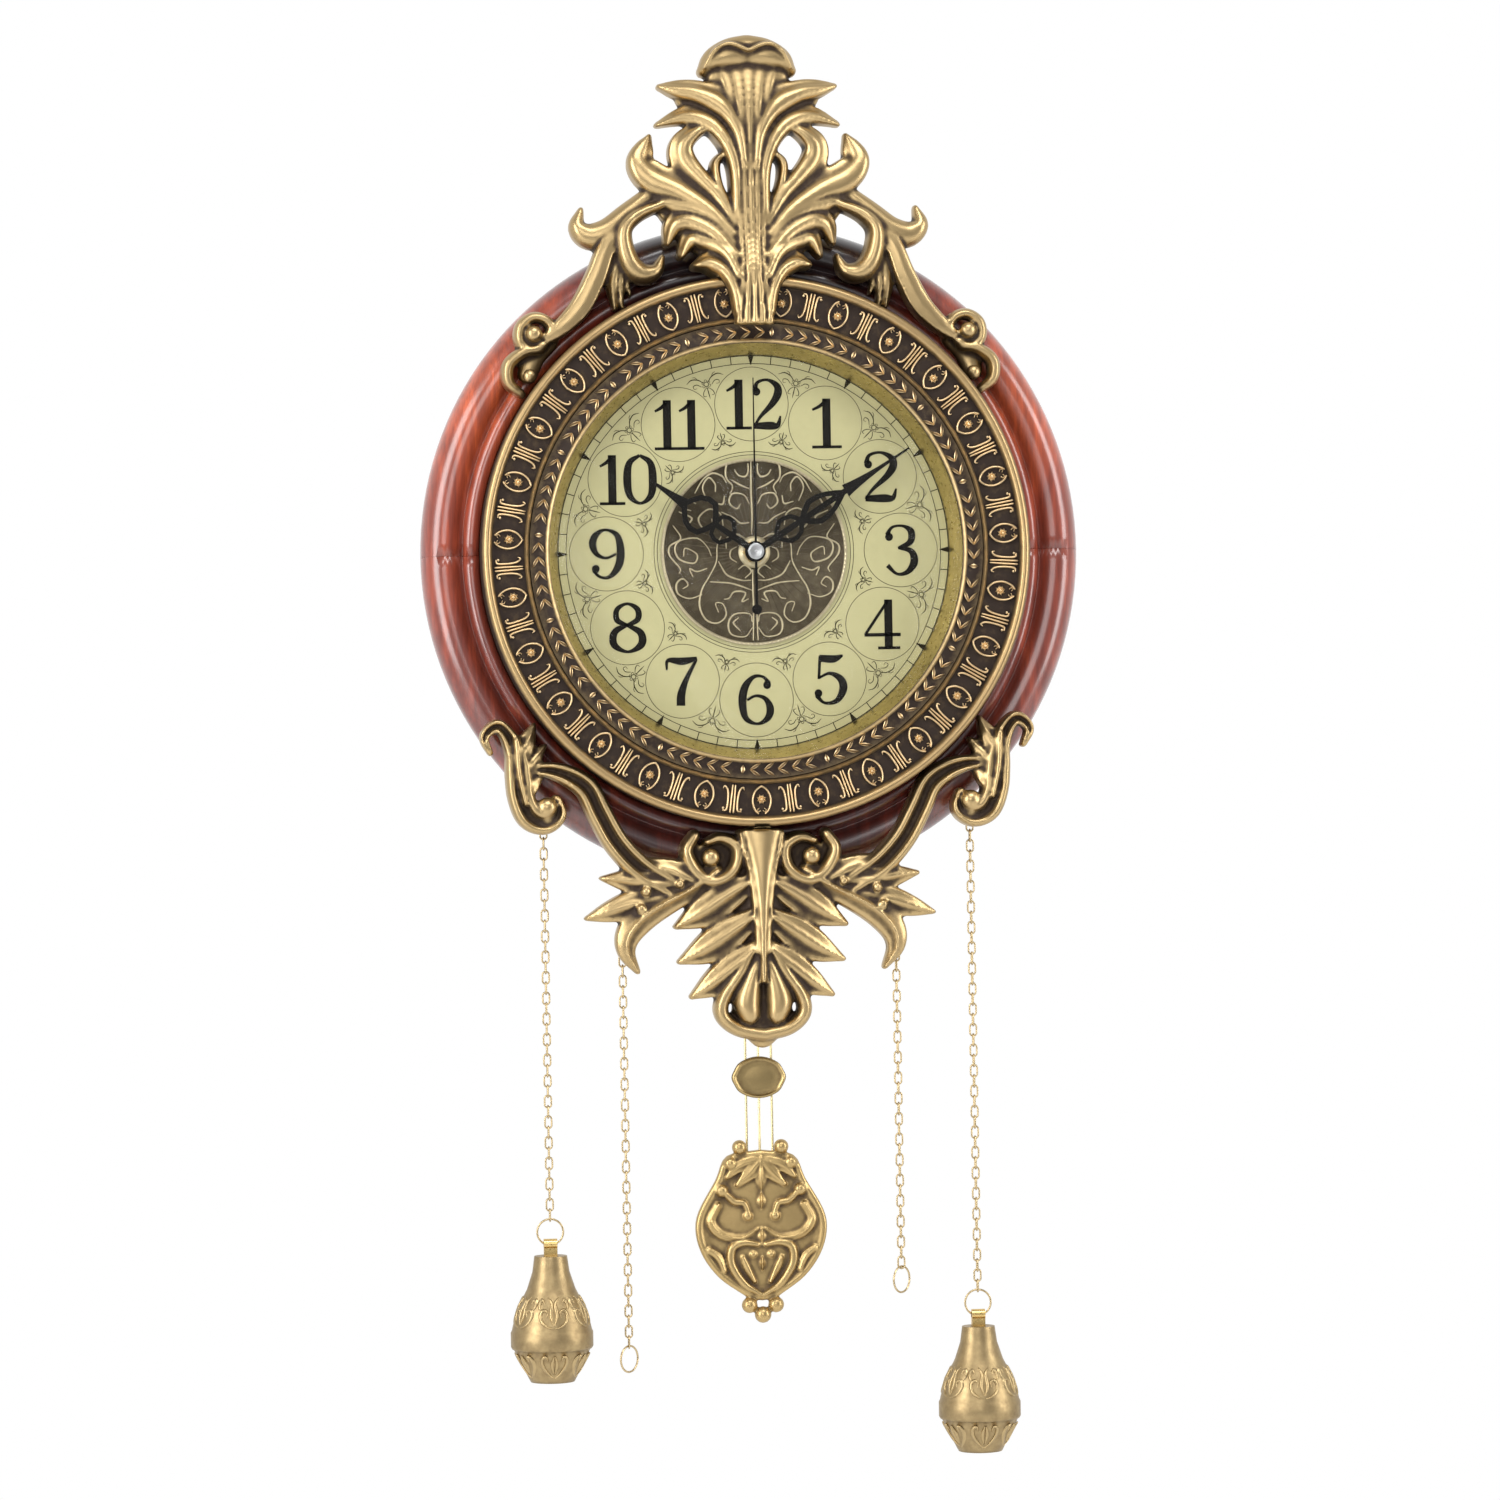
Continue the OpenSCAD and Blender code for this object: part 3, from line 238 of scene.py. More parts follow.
def wood_material():
    mat, shader, tree = new_material("lacquered_wood_grain")
    _, x, _, z = object_parts(tree)
    turn = maths(tree, "DIVIDE", maths(tree, "ARCTAN2", maths(tree, "ABSOLUTE", x), z), pi)
    wander = maths(tree, "MULTIPLY", maths(tree, "SUBTRACT", noise(tree, 0.02, 2), 0.5), 0.12)
    # The red-brown stain set by the angle round the ring. Painted shade makes it nearly black at the top,
    # it is also darker towards the bottom, and a painted highlight makes it orange at the shoulders.
    stain_and_painted_light = ramp(tree, maths(tree, "ADD", turn, wander), [
        (0.0, (0.010, 0.003, 0.004)), (0.12, (0.022, 0.004, 0.005)),
        (0.2, (0.15, 0.020, 0.010)), (0.32, (0.36, 0.060, 0.018)), (0.46, (0.24, 0.036, 0.016)),
        (0.62, (0.18, 0.028, 0.014)), (0.8, (0.12, 0.018, 0.010)), (1.0, (0.03, 0.006, 0.006))])
    grain = noise(tree, 0.22, 5, (1.0, 0.5, 0.10), 0.55)
    fine = noise(tree, 1.1, 3, (1.0, 0.5, 0.06), 0.5)
    light = ramp(tree, grain, [(0.0, (0.45, 0.40, 0.4)), (0.45, (0.85, 0.85, 0.85)),
                               (0.58, (1.2, 1.25, 1.2)), (0.75, (1.8, 2.0, 1.6)), (1.0, (2.0, 2.2, 1.8))])
    colour = mixed(tree, 1.0, stain_and_painted_light, light, "MULTIPLY")
    colour = mixed(tree, to_range(tree, fine, 0.4, 0.75, 0.0, 0.3), colour, (0.01, 0.003, 0.003))
    tree.links.new(colour, shader.inputs["Base Color"])
    shader.inputs["Roughness"].default_value = 0.34
    shader.inputs["Coat Weight"].default_value = 1.0
    shader.inputs["Coat Roughness"].default_value = 0.2
    bump(tree, shader, fine, 0.12, 0.15)
    return mat


wood = wood_material()
smoothed_copy("ring_upper", "wood_ring_upper", wood, "frame")
smoothed_copy("ring_lower", "wood_ring_lower", wood, "frame")

# ---------------------------------------------------------------------------------------------
# Behind the ring: beech dowels, a hardboard back with its stamped keyhole hanger, and steel
# screws. These keep their CAD shapes.


def paint(mat, *nodes):
    for name in nodes:
        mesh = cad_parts[name].data
        mesh.materials.clear()
        mesh.materials.append(mat)


def plain(name, colour, rough, metal=0.0, spots=0.12, scale=0.8, stretch=(1, 1, 1), coat=0.0,
          rise=0.05, gloss=0.5):
    """A material of one colour that noise makes a little uneven."""
    mat, shader, tree = new_material(name)
    tone = noise(tree, scale, 5, stretch)
    low = tuple(c * (1 - spots) for c in colour)
    high = tuple(min(c * (1 + spots), 1) for c in colour)
    tree.links.new(ramp(tree, tone, [(0.3, low), (0.7, high)]), shader.inputs["Base Color"])
    tree.links.new(to_range(tree, tone, 0.3, 0.7, rough * 0.85, rough * 1.15),
                   shader.inputs["Roughness"])
    shader.inputs["Metallic"].default_value = metal
    shader.inputs["Coat Weight"].default_value = coat
    shader.inputs["Specular IOR Level"].default_value = gloss
    bump(tree, shader, tone, 0.2, rise)
    return mat


steel = plain("zinc_plated_steel", (0.55, 0.56, 0.56), 0.34, 1.0, 0.1, 1.5)
paint(plain("beech", (0.52, 0.34, 0.18), 0.6, 0, 0.2, 0.8, (1, 1, 0.1)), "ring_dowels")
paint(plain("hardboard", (0.17, 0.10, 0.055), 0.8, 0, 0.35, 0.6), "back_board")
paint(steel, "board_screws", "bezel_screws", "ornament_screws", "hanger_plate",
      "dial_retaining_ring")

# ---------------------------------------------------------------------------------------------
# The bezel: one casting with a rolled gold rim, a dark frieze of raised cartouches and bars, and
# a bead. The leaf ring lies inside it. Both are gold lacquer with brown patina wiped into the
# hollows.


def spline(points, n):
    """A smooth curve through the points, with n pieces between two of them."""
    p = np.array(points, float)
    p = np.vstack([2 * p[0] - p[1], p, 2 * p[-1] - p[-2]])
    out = []
    for i in range(1, len(p) - 2):
        for t in np.linspace(0, 1, n, endpoint=False):
            out.append(0.5 * (2 * p[i] + (p[i + 1] - p[i - 1]) * t
                              + (2 * p[i - 1] - 5 * p[i] + 4 * p[i + 1] - p[i + 2]) * t * t
                              + (3 * p[i] - p[i - 1] - 3 * p[i + 1] + p[i + 2]) * t ** 3))
    return np.array(out + [p[-2]])


SECTIONS = {
    "round": [(-1, 0), (-0.95, 0.35), (-0.8, 0.62), (-0.55, 0.85), (-0.28, 0.97), (0, 1),
              (0.28, 0.97), (0.55, 0.85), (0.8, 0.62), (0.95, 0.35), (1, 0)],
    "leaf": [(-1, 0), (-0.97, 0.5), (-0.85, 0.68), (-0.6, 0.62), (-0.35, 0.66), (-0.15, 0.85),
             (0, 1), (0.2, 0.98), (0.45, 0.82), (0.65, 0.78), (0.85, 0.8), (0.97, 0.5), (1, 0)],
    "shell": [(-1, 0), (-0.96, 0.5), (-0.84, 0.8), (-0.55, 0.97), (-0.15, 1), (0.2, 0.88),
              (0.45, 0.66), (0.7, 0.56), (0.93, 0.5), (1, 0)],
    "ridge": [(-1, 0), (-0.9, 0.4), (-0.55, 0.5), (-0.25, 0.7), (0, 1), (0.25, 0.7),
              (0.55, 0.5), (0.9, 0.4), (1, 0)],
    "twin": [(-1, 0), (-0.95, 0.6), (-0.7, 0.95), (-0.45, 0.9), (-0.2, 0.45), (0, 0.35),
             (0.2, 0.45), (0.45, 0.9), (0.7, 0.95), (0.95, 0.6), (1, 0)],
    "band": [(-1, 0), (-0.96, 0.75), (-0.85, 0.95), (-0.7, 0.8), (-0.6, 0.92), (0, 1),
             (0.75, 0.9), (0.95, 0.6), (1, 0)],
    "flat": [(-1, 0), (-1, 1), (1, 1), (1, 0)],
}


class Solid:
    """Points in millimetres [x, d, z] and the faces between them."""

    def __init__(self):
        self.verts, self.faces = [], []

    def tube(self, rings):
        """A closed solid through rings with the same number of points."""
        start, m = len(self.verts), len(rings[0])
        for ring in rings:
            self.verts += [tuple(v) for v in ring]
        for i in range(len(rings) - 1):
            for j in range(m):
                a, b = start + i * m + j, start + i * m + (j + 1) % m
                self.faces.append((a, b, b + m, a + m))
        self.faces.append(tuple(range(start + m - 1, start - 1, -1)))
        last = start + (len(rings) - 1) * m
        self.faces.append(tuple(range(last, last + m)))

    def loft(self, points, back, section="round", n=5, low=0.35, blunt=True):
        """A scroll along [x, z, width, front] over a flat back; its flanks start at the share
        low of its height. Blunt ends are rounded off."""
        path = spline(points, n)
        shape = np.array(SECTIONS[section])
        ways = np.gradient(path[:, :2], axis=0)
        ways /= np.maximum(np.linalg.norm(ways, axis=1), 1e-9)[:, None]
        stations = [(p[0], p[1], max(p[2], 0.05) / 2, p[3], w) for p, w in zip(path, ways)]
        if blunt:
            for end, sign in ((0, -1), (-1, 1)):
                x, z, half, front, w = stations[end]
                extra = [(x + sign * w[0] * half * sin(a), z + sign * w[1] * half * sin(a),
                          max(half * cos(a), 0.04), front - (front - back) * 0.35 * (1 - cos(a)), w)
                         for a in (0.6, 1.1, 1.5)]
                stations = (extra[::-1] + stations) if sign < 0 else (stations + extra)
        rings = []
        for x, z, half, front, w in stations:
            base = back + low * (front - back)
            u = shape[:, 0] * half
            v = base + shape[:, 1] * (front - base)
            ring = [(x - w[1] * -half, back, z + w[0] * -half)]
            ring += [(x - w[1] * a, b, z + w[0] * a) for a, b in zip(u, v)]
            ring += [(x - w[1] * half, back, z + w[0] * half)]
            rings.append(ring)
        self.tube(rings)

    def ball(self, x, z, r, d, n=12):
        rings = []
        for i in range(n // 2 + 1):
            a = pi * (0.02 + 0.96 * i / (n // 2))
            rings.append([(x + r * sin(a) * cos(2 * pi * j / n), d - r * cos(a),
                           z + r * sin(a) * sin(2 * pi * j / n)) for j in range(n)])
        self.tube(rings)

    def mirror(self):
        """The same shapes again on the other side of the clock's middle."""
        count = len(self.verts)
        self.verts += [(-x, d, z) for x, d, z in self.verts]
        self.faces += [tuple(v + count for v in reversed(f)) for f in list(self.faces)]

    def mesh(self, name):
        mesh = bpy.data.meshes.new(name)
        mesh.from_pydata([at(*v) for v in self.verts], [], self.faces)
        work = bmesh.new()
        work.from_mesh(mesh)
        bmesh.ops.recalc_face_normals(work, faces=work.faces)
        work.to_mesh(mesh)
        work.free()
        return mesh


def repeat_round(mesh, name, count, start, mat, body, centre=(0, 0, 0), axis="Y",
                 angle=35):
    """Copies of a mesh in a circle round an axis through centre, by Geometry Nodes."""
    obj = bpy.data.objects.new(name, mesh)
    bpy.context.collection.objects.link(obj)
    group = bpy.data.node_groups.new("repeat_" + name, "GeometryNodeTree")
    face = group.interface
    face.new_socket("Geometry", in_out="INPUT", socket_type="NodeSocketGeometry")
    counted = face.new_socket("Count", in_out="INPUT", socket_type="NodeSocketInt")
    started = face.new_socket("Start", in_out="INPUT", socket_type="NodeSocketFloat")
    face.new_socket("Geometry", in_out="OUTPUT", socket_type="NodeSocketGeometry")
    new, link = group.nodes.new, group.links.new
    given, made = new("NodeGroupInput"), new("NodeGroupOutput")
    middle = Vector(at(*centre))
    to_axis = new("GeometryNodeTransform")
    to_axis.inputs["Translation"].default_value = -middle
    link(given.outputs["Geometry"], to_axis.inputs["Geometry"])
    line = new("GeometryNodeMeshLine")
    line.inputs["Start Location"].default_value = middle
    line.inputs["Offset"].default_value = (0, 0, 0)
    link(given.outputs["Count"], line.inputs["Count"])
    step = new("ShaderNodeMath")
    step.operation = "DIVIDE"
    step.inputs[0].default_value = 2 * pi
    link(given.outputs["Count"], step.inputs[1])
    turn = new("ShaderNodeMath")
    turn.operation = "MULTIPLY_ADD"
    link(new("GeometryNodeInputIndex").outputs[0], turn.inputs[0])
    link(step.outputs[0], turn.inputs[1])
    link(given.outputs["Start"], turn.inputs[2])
    angles = new("ShaderNodeCombineXYZ")
    link(turn.outputs[0], angles.inputs[axis])
    place = new("GeometryNodeInstanceOnPoints")
    link(line.outputs["Mesh"], place.inputs["Points"])
    link(to_axis.outputs["Geometry"], place.inputs["Instance"])
    to_rotation = new("FunctionNodeEulerToRotation")
    link(angles.outputs[0], to_rotation.inputs[0])
    link(to_rotation.outputs[0], place.inputs["Rotation"])
    real = new("GeometryNodeRealizeInstances")
    link(place.outputs["Instances"], real.inputs["Geometry"])
    paint_it = new("GeometryNodeSetMaterial")
    paint_it.inputs["Material"].default_value = mat
    link(real.outputs["Geometry"], paint_it.inputs["Geometry"])
    link(paint_it.outputs["Geometry"], made.inputs["Geometry"])
    modifier = obj.modifiers.new("repeat", "NODES")
    modifier.node_group = group
    modifier[counted.identifier] = count
    modifier[started.identifier] = radians(start)
    bpy.context.view_layer.update()
    full = bpy.data.meshes.new_from_object(obj.evaluated_get(bpy.context.evaluated_depsgraph_get()))
    obj.modifiers.clear()
    bpy.data.objects.remove(obj)
    return dress(full, name, mat, body, (), angle)


def antique(name, gold, brown, low, high, rough=0.34, by="depth"):
    """Gold lacquer with a brown patina where a surface is low; by is the depth in millimetres
    from the wall, or a point attribute of the mesh."""
    mat, shader, tree = new_material(name)
    if by == "depth":
        value = maths(tree, "MULTIPLY", object_parts(tree)[2], -1.0)
    else:
        value = add_node(tree, "Attribute", attribute_name=by).outputs["Fac"]
    grime = noise(tree, 0.25, 5, rough=0.6)
    height = to_range(tree, value, low, high)
    worn = maths(tree, "ADD", height, maths(tree, "MULTIPLY", maths(tree, "SUBTRACT", grime, 0.5), 0.5))
    tone = ramp(tree, worn, [(0.0, brown), (0.35, tuple(0.7 * b + 0.3 * g for b, g in zip(brown, gold))),
                             (0.7, gold), (1.0, tuple(min(1.2 * g, 1) for g in gold))])
    tree.links.new(tone, shader.inputs["Base Color"])
    tree.links.new(to_range(tree, worn, 0, 1, 0.62, rough), shader.inputs["Roughness"])
    tree.links.new(to_range(tree, worn, 0, 0.6, 0.45, 1.0), shader.inputs["Metallic"])
    bump(tree, shader, noise(tree, 1.2, 3), 0.15, 0.06)
    return mat


GOLD = (0.62, 0.46, 0.26)
BROWN = (0.020, 0.010, 0.005)
frieze_d = 42.8
bezel_gold = antique("bezel_gold_patina", (0.36, 0.25, 0.12), BROWN, 42.9, 47.0)
smoothed_copy("bezel", "bezel_ring", bezel_gold, "frame")
smoothed_copy("leaf_ring_casting", "leaf_ring",
              antique("leaf_ring_patina", (0.50, 0.37, 0.19), BROWN, 43.3, 45.0), "frame")

raised_gold = antique("raised_ornament_gold", GOLD, BROWN, frieze_d - 0.1, frieze_d + 1.1)
MOTIFS = 27


def on_frieze(solid, points, section="round"):
    """A raised stroke along [x, z, width, height above the frieze]."""
    solid.loft([(x, z, w, frieze_d + h) for x, z, w, h in points], frieze_d - 0.2, section, 3)


cartouche = Solid()
outline = [(1.9, 130.6), (3.2, 129.2), (4.3, 126.4), (4.5, 123.2), (3.4, 120.0), (1.6, 118.0),
           (0.0, 117.1)]
on_frieze(cartouche, [(x, z, 1.15, 1.7) for x, z in outline])
on_frieze(cartouche, [(0.7, 129.3, 0.5, 1.1), (1.7, 129.8, 0.6, 1.2), (2.2, 128.8, 0.6, 1.2),
                      (1.4, 128.1, 0.5, 1.1)])
for k in range(4):
    a = radians(22.5 + 45 * k)
    on_frieze(cartouche, [(r * sin(a), 123.6 + r * cos(a), w, h) for r, w, h in
                          ((0.5, 0.5, 1.3), (1.5, 1.15, 1.4), (2.5, 0.3, 0.7))], "ridge")
cartouche.mirror()
cartouche.ball(0, 123.6, 0.8, frieze_d + 0.9, 8)
repeat_round(cartouche.mesh("cartouche"), "frieze_cartouches", MOTIFS, 180 / MOTIFS, raised_gold,
             "frame")
bars = Solid()
on_frieze(bars, [(0.85, 130.6, 1.1, 1.7), (0.8, 124.0, 1.1, 1.7), (0.65, 117.2, 0.9, 1.5)])
on_frieze(bars, [(4.3, 130.0, 1.0, 1.4), (3.0, 129.8, 1.15, 1.6), (2.5, 127.6, 1.15, 1.6),
                 (2.5, 122.6, 1.15, 1.6), (3.2, 119.2, 1.15, 1.6), (4.6, 117.8, 1.0, 1.4),
                 (5.2, 119.0, 0.5, 1.0)])
bars.ball(4.5, 128.9, 0.7, frieze_d + 0.6, 8)
bars.mirror()
repeat_round(bars.mesh("bars"), "frieze_bars", MOTIFS, 0, raised_gold, "frame")

LEAF_R = 108.9
DIAMOND = 10.4
leaves = Solid()
for k in range(5):
    a0 = radians(-8.3 + 3.7 * k)
    for side in (-1, 1):
        leaves.loft([((LEAF_R + side * r) * sin(a0 + t), (LEAF_R + side * r) * cos(a0 + t), w,
                      43.0 + h) for r, t, w, h in
                     ((0.1, 0.032, 0.9, 1.2), (1.7, 0.010, 1.7, 1.6), (3.3, -0.014, 0.5, 1.0))],
                    42.2, "ridge", 3)
a = radians(DIAMOND)
leaves.loft([(r * sin(a), r * cos(a), w, d) for r, w, d in
             ((111.2, 0.4, 43.9), (109, 2.4, 44.5), (106.8, 0.4, 43.9))], 42.2, "ridge", 3)
repeat_round(leaves.mesh("leaves"), "leaf_ring_leaves", 16, 4.8 - DIAMOND,
             antique("leaf_gold", GOLD, BROWN, 42.9, 43.9), "frame")

# ---------------------------------------------------------------------------------------------
# The dial: an anodised champagne-gold plate under a mineral glass, inside a sloped gold rehaut.
# Tracks, circles and numerals are printed on it; the patinated brass medallion is pressed.
smoothed_copy("rehaut", "rehaut_ring", plain("rehaut_gold", (0.55, 0.44, 0.20), 0.3, 1.0, 0.1, 0.5),
              "frame")
glass, glass_shader, _ = new_material("mineral_glass")
glass_shader.inputs["Base Color"].default_value = (0.02, 0.022, 0.02, 1)
glass_shader.inputs["Roughness"].default_value = 0.02
glass_shader.inputs["Alpha"].default_value = 0.05
smoothed_copy("glass", "glass_lens", glass, "frame")
champagne = plain("champagne_dial", (0.47, 0.44, 0.225), 0.5, 0.2, 0.03, 0.3)
smoothed_copy("dial", "dial_plate", champagne, "frame")

ink = plain("dial_print", (0.030, 0.025, 0.013), 0.6, 0, 0.1, gloss=0.1)
dial_d = 28.0
print_d = dial_d + 0.06


def flat_stroke(solid, points, n=4):
    """A printed stroke along [x, z, width]."""
    solid.loft([(*p, print_d) for p in points], dial_d - 0.02, "flat", n, 1.0, False)


def ring_line(solid, x, z, r, width, n=96):
    """A printed circle: its outer and inner edge at the top, then the same two at the bottom."""
    start = len(solid.verts)
    for d in (print_d, dial_d - 0.02):
        for edge in (r + width / 2, r - width / 2):
            solid.verts += [(x + edge * sin(2 * pi * i / n), d, z + edge * cos(2 * pi * i / n))
                            for i in range(n)]
    for i in range(n):
        a, b = start + i, start + (i + 1) % n
        solid.faces += [(a, b, b + n, a + n), (a + 2 * n, b + 2 * n, b, a),
                        (a + n, b + n, b + 3 * n, a + 3 * n),
                        (a + 3 * n, b + 3 * n, b + 2 * n, a + 2 * n)]


track_in, track_out, numeral_r = 94.2, 98.2, 74
tracks = Solid()
for r, width in ((track_out, 0.5), (track_in, 0.35), (50.2, 0.3), (48.6, 0.3)):
    ring_line(tracks, 0, 0, r, width)
dress(tracks.mesh("tracks"), "dial_tracks", ink, "frame", (), 35)
tick = Solid()
flat_stroke(tick, [(0, track_in, 0.45), (0, track_out, 0.45)], 1)
repeat_round(tick.mesh("tick"), "minute_ticks", 60, 0, ink, "frame")
mark = Solid()
flat_stroke(mark, [(0, 93.4, 0.15), (0, track_out, 3.0)], 1)
repeat_round(mark.mesh("mark"), "hour_triangles", 12, 0, ink, "frame")
loop = Solid()
ring_line(loop, 0, numeral_r, 18.5, 0.28, 64)
repeat_round(loop.mesh("loop"), "numeral_circles", 12, 0, ink, "frame")
SPRAY = [
    [(1.2, 0.8, 0.3), (3.4, 3.0, 0.5), (6.8, 3.9, 0.5), (9.6, 2.4, 0.2)],
    [(2.6, -0.8, 0.25), (4.6, 0.9, 0.4), (6.6, 0.6, 0.35), (6.4, -0.9, 0.25), (5.0, -0.8, 0.2)],
    [(0.9, -2.0, 0.3), (2.4, -3.8, 0.4), (2.7, -5.6, 0.35), (1.3, -5.8, 0.2)],
    [(3.6, 3.2, 0.2), (4.6, 4.6, 0.3), (6.0, 5.0, 0.15)],
]
flowers = Solid()
for z, size, way in ((87.0, 1.0, 1), (56.8, 0.66, -1)):
    ring_line(flowers, 0, z, 1.1 * size, 0.3, 16)
    for k in range(6):
        ring_line(flowers, 1.7 * size * sin(k * pi / 3), z + 1.7 * size * cos(k * pi / 3),
                  0.6 * size, 0.25, 10)
    for side in (-1, 1):
        for stroke in SPRAY:
            flat_stroke(flowers, [(side * x * size, z + way * rise * size, w)
                                  for x, rise, w in stroke])
    flat_stroke(flowers, [(0, z - way * 1.6 * size, 0.3), (0, z - way * 5.0 * size, 0.5),
                          (0, z - way * 7.6 * size, 0.15)])
repeat_round(flowers.mesh("flowers"), "dial_flowers", 12, 15, ink, "frame")

BALL = {"2": (-0.17, 0.74), "3": (-0.17, 0.76), "5": (-0.17, 0.22), "6": (0.16, 0.79),
        "9": (-0.16, 0.21)}
DIGITS = {
    "0": [[(0, .97, .05), (-.18, .82, .11), (-.22, .5, .14), (-.18, .18, .11), (0, .03, .05),
           (.18, .18, .11), (.22, .5, .14), (.18, .82, .11), (0, .97, .05)]],
    "1": [[(.02, .02, .14), (.02, .98, .14)], [(-.2, .03, .05), (.24, .03, .05)],
          [(-.19, .76, .04), (-.07, .84, .06), (.02, .96, .05)]],
    "2": [[(-.2, .76, .09), (-.15, .92, .06), (.02, .97, .05), (.18, .86, .11), (.2, .7, .14),
           (.1, .5, .11), (-.1, .26, .06), (-.22, .06, .04)],
          [(-.22, .07, .1), (.06, .07, .14), (.19, .08, .09), (.24, .26, .03)]],
    "3": [[(-.2, .8, .08), (-.12, .95, .05), (.04, .97, .05), (.16, .86, .12), (.14, .65, .11),
           (-.04, .54, .04)],
          [(-.04, .54, .04), (.15, .48, .1), (.2, .27, .14), (.1, .07, .09), (-.06, .03, .05),
           (-.2, .2, .08)]],
    "4": [[(.09, .02, .14), (.09, .98, .14)], [(.09, .97, .05), (-.25, .31, .05)],
          [(-.27, .29, .06), (.27, .29, .06)], [(-.07, .03, .05), (.26, .03, .05)]],
    "5": [[(-.16, .5, .05), (-.14, .95, .05)], [(-.15, .91, .12), (.06, .89, .13), (.2, .96, .04)],
          [(-.16, .52, .04), (0, .61, .06), (.16, .5, .12), (.2, .3, .14), (.1, .07, .09),
           (-.08, .03, .05), (-.2, .18, .08)]],
    "6": [[(.19, .82, .08), (.1, .95, .05), (-.04, .95, .07), (-.17, .75, .13), (-.21, .45, .14),
           (-.16, .14, .1), (.01, .03, .05), (.16, .14, .11), (.2, .33, .13), (.13, .52, .08),
           (-.01, .58, .05), (-.14, .5, .05)]],
    "7": [[(-.23, .72, .03), (-.21, .91, .07), (0, .89, .13), (.22, .94, .07)],
          [(.21, .92, .05), (.06, .55, .09), (-.02, .25, .14), (-.03, .02, .15)]],
    "8": [[(0, .55, .05), (-.15, .65, .1), (-.15, .86, .09), (0, .97, .05), (.15, .86, .1),
           (.15, .66, .1), (0, .55, .06)],
          [(0, .56, .06), (-.19, .42, .12), (-.2, .17, .12), (0, .03, .05), (.2, .17, .13),
           (.19, .4, .12), (0, .55, .06)]],
}
DIGITS["9"] = [[(-x, 1 - z, w) for x, z, w in stroke] for stroke in DIGITS["6"]]
numerals = Solid()
for hour in range(1, 13):
    text = str(hour)
    tall, wide = 25.5, 34.0 if len(text) == 1 else 29.0
    shift = {1: (0,), 2: (-0.24, 0.26)}[len(text)] if hour != 11 else (-0.21, 0.21)
    x0, z0 = numeral_r * sin(radians(30 * hour)), numeral_r * cos(radians(30 * hour))
    for digit, move in zip(text, shift):
        for stroke in DIGITS[digit]:
            flat_stroke(numerals, [(x0 + (x + move) * wide, z0 + (z - 0.5) * tall, 1.15 * w * tall)
                                   for x, z, w in stroke], 5)
        if digit in BALL:
            x, z = BALL[digit]
            flat_stroke(numerals, [(x0 + (x + move) * wide - 2.0 * cos(t), z0 + (z - 0.5) * tall,
                                    4.2 * sin(t)) for t in np.linspace(0.12, pi - 0.12, 7)], 1)
dress(numerals.mesh("numerals"), "numerals", plain("numeral_ink", (0.007, 0.006, 0.004), 0.6, gloss=0.1),
      "frame", (), 35)

SCROLLS = [
    [(.8, 45.5), (8, 45), (12.9, 43.9), (13.5, 37.3), (10.3, 32.9), (11.6, 29.2)],
    [(2.4, 44), (2.4, 40), (4.2, 37.6), (7.5, 38.6), (9, 41)],
    [(19, 30.4), (19.1, 34.2), (22.3, 37.3), (25.4, 32.3), (22.9, 25.4)],
    [(13.5, 34.8), (15.4, 37.9), (20.4, 39.5), (25.4, 36.1), (29.2, 29.8)],
    [(2.2, 24.1), (4.7, 28.5), (10.3, 29.2), (12.2, 24.8), (8.5, 21.6), (6.6, 24.1)],
    [(2.2, 31.7), (6.6, 33.5), (10.5, 36)], [(2.5, 14.7), (6.6, 14.4), (10.3, 17.2), (16, 20)],
    [(15.4, 13.5), (16.6, 19.1), (22.3, 21.6), (27.6, 17.2), (25.4, 12.2), (21, 13.5), (21, 16.6)],
    [(33.6, 13.5), (31, 17.2), (37.3, 20.4)],
    [(40.4, 13.5), (36.7, 7.2), (42.3, 3.4), (42.3, -1.6), (37.3, -7.8), (37.9, -10.3)],
    [(35.4, -1.6), (34.8, 2.2), (31, .9), (28.5, -1.6), (30.4, -5.3), (37.3, -3.4), (39.8, 1.6),
     (37.3, 6), (28.5, 7.2), (23.5, 2.8), (21.6, -1.6)],
    [(16.6, 7.8), (18.5, 3.4), (19.1, -4.7), (22.9, -12.2), (26.6, -18.5), (27.9, -26.6),
     (24.8, -33.5), (19.1, -35.4), (14.7, -31.7), (16, -26), (19.8, -25.4), (18.5, -29.8)],
    [(26.6, -21), (32.9, -22.9), (38.6, -20.4), (39.2, -15.4), (36, -12.9), (33.5, -16),
     (36, -17.9)],
    [(1.6, -34.8), (2.8, -31), (10.3, -31), (13.5, -35.4), (12.2, -41), (5.3, -42.3),
     (1.6, -37.9)], [(7.8, -39.2), (11, -35.4), (8.5, -32.9)],
    [(1.6, -19.1), (6.6, -17.2), (12.9, -15.4), (22.3, -14.7)],
    [(3.4, -23.5), (6.6, -24.8), (4.7, -20.4), (10.3, -19.8), (12.9, -22.9), (15.4, -23.5)],
    [(1.9, -14.1), (6.6, -14.1), (13.5, -11.6), (16.6, -7.2), (17.9, -4.7)],
    [(4.7, -12.9), (1.6, -9.7), (4.7, -6.6), (8, -8.5)], [(9, 2.5), (11.6, .9), (11.9, -2.8),
                                                          (9, -5)],
    [(29, 24.5), (33, 26.5), (35, 22.5), (31.5, 21)], [(24, -8), (29, -9.5), (32.5, -8), (31, -12)],
    [(.9, 45), (1.1, 30), (.8, 18), (1.2, 9)], [(.9, -9), (1, -18), (.8, -27), (1.2, -44)],
    [(4, 6.5), (9, 9), (13.5, 7), (14, 2)], [(20, 25), (15.5, 24), (14.5, 28)],
]
medallion = Solid()
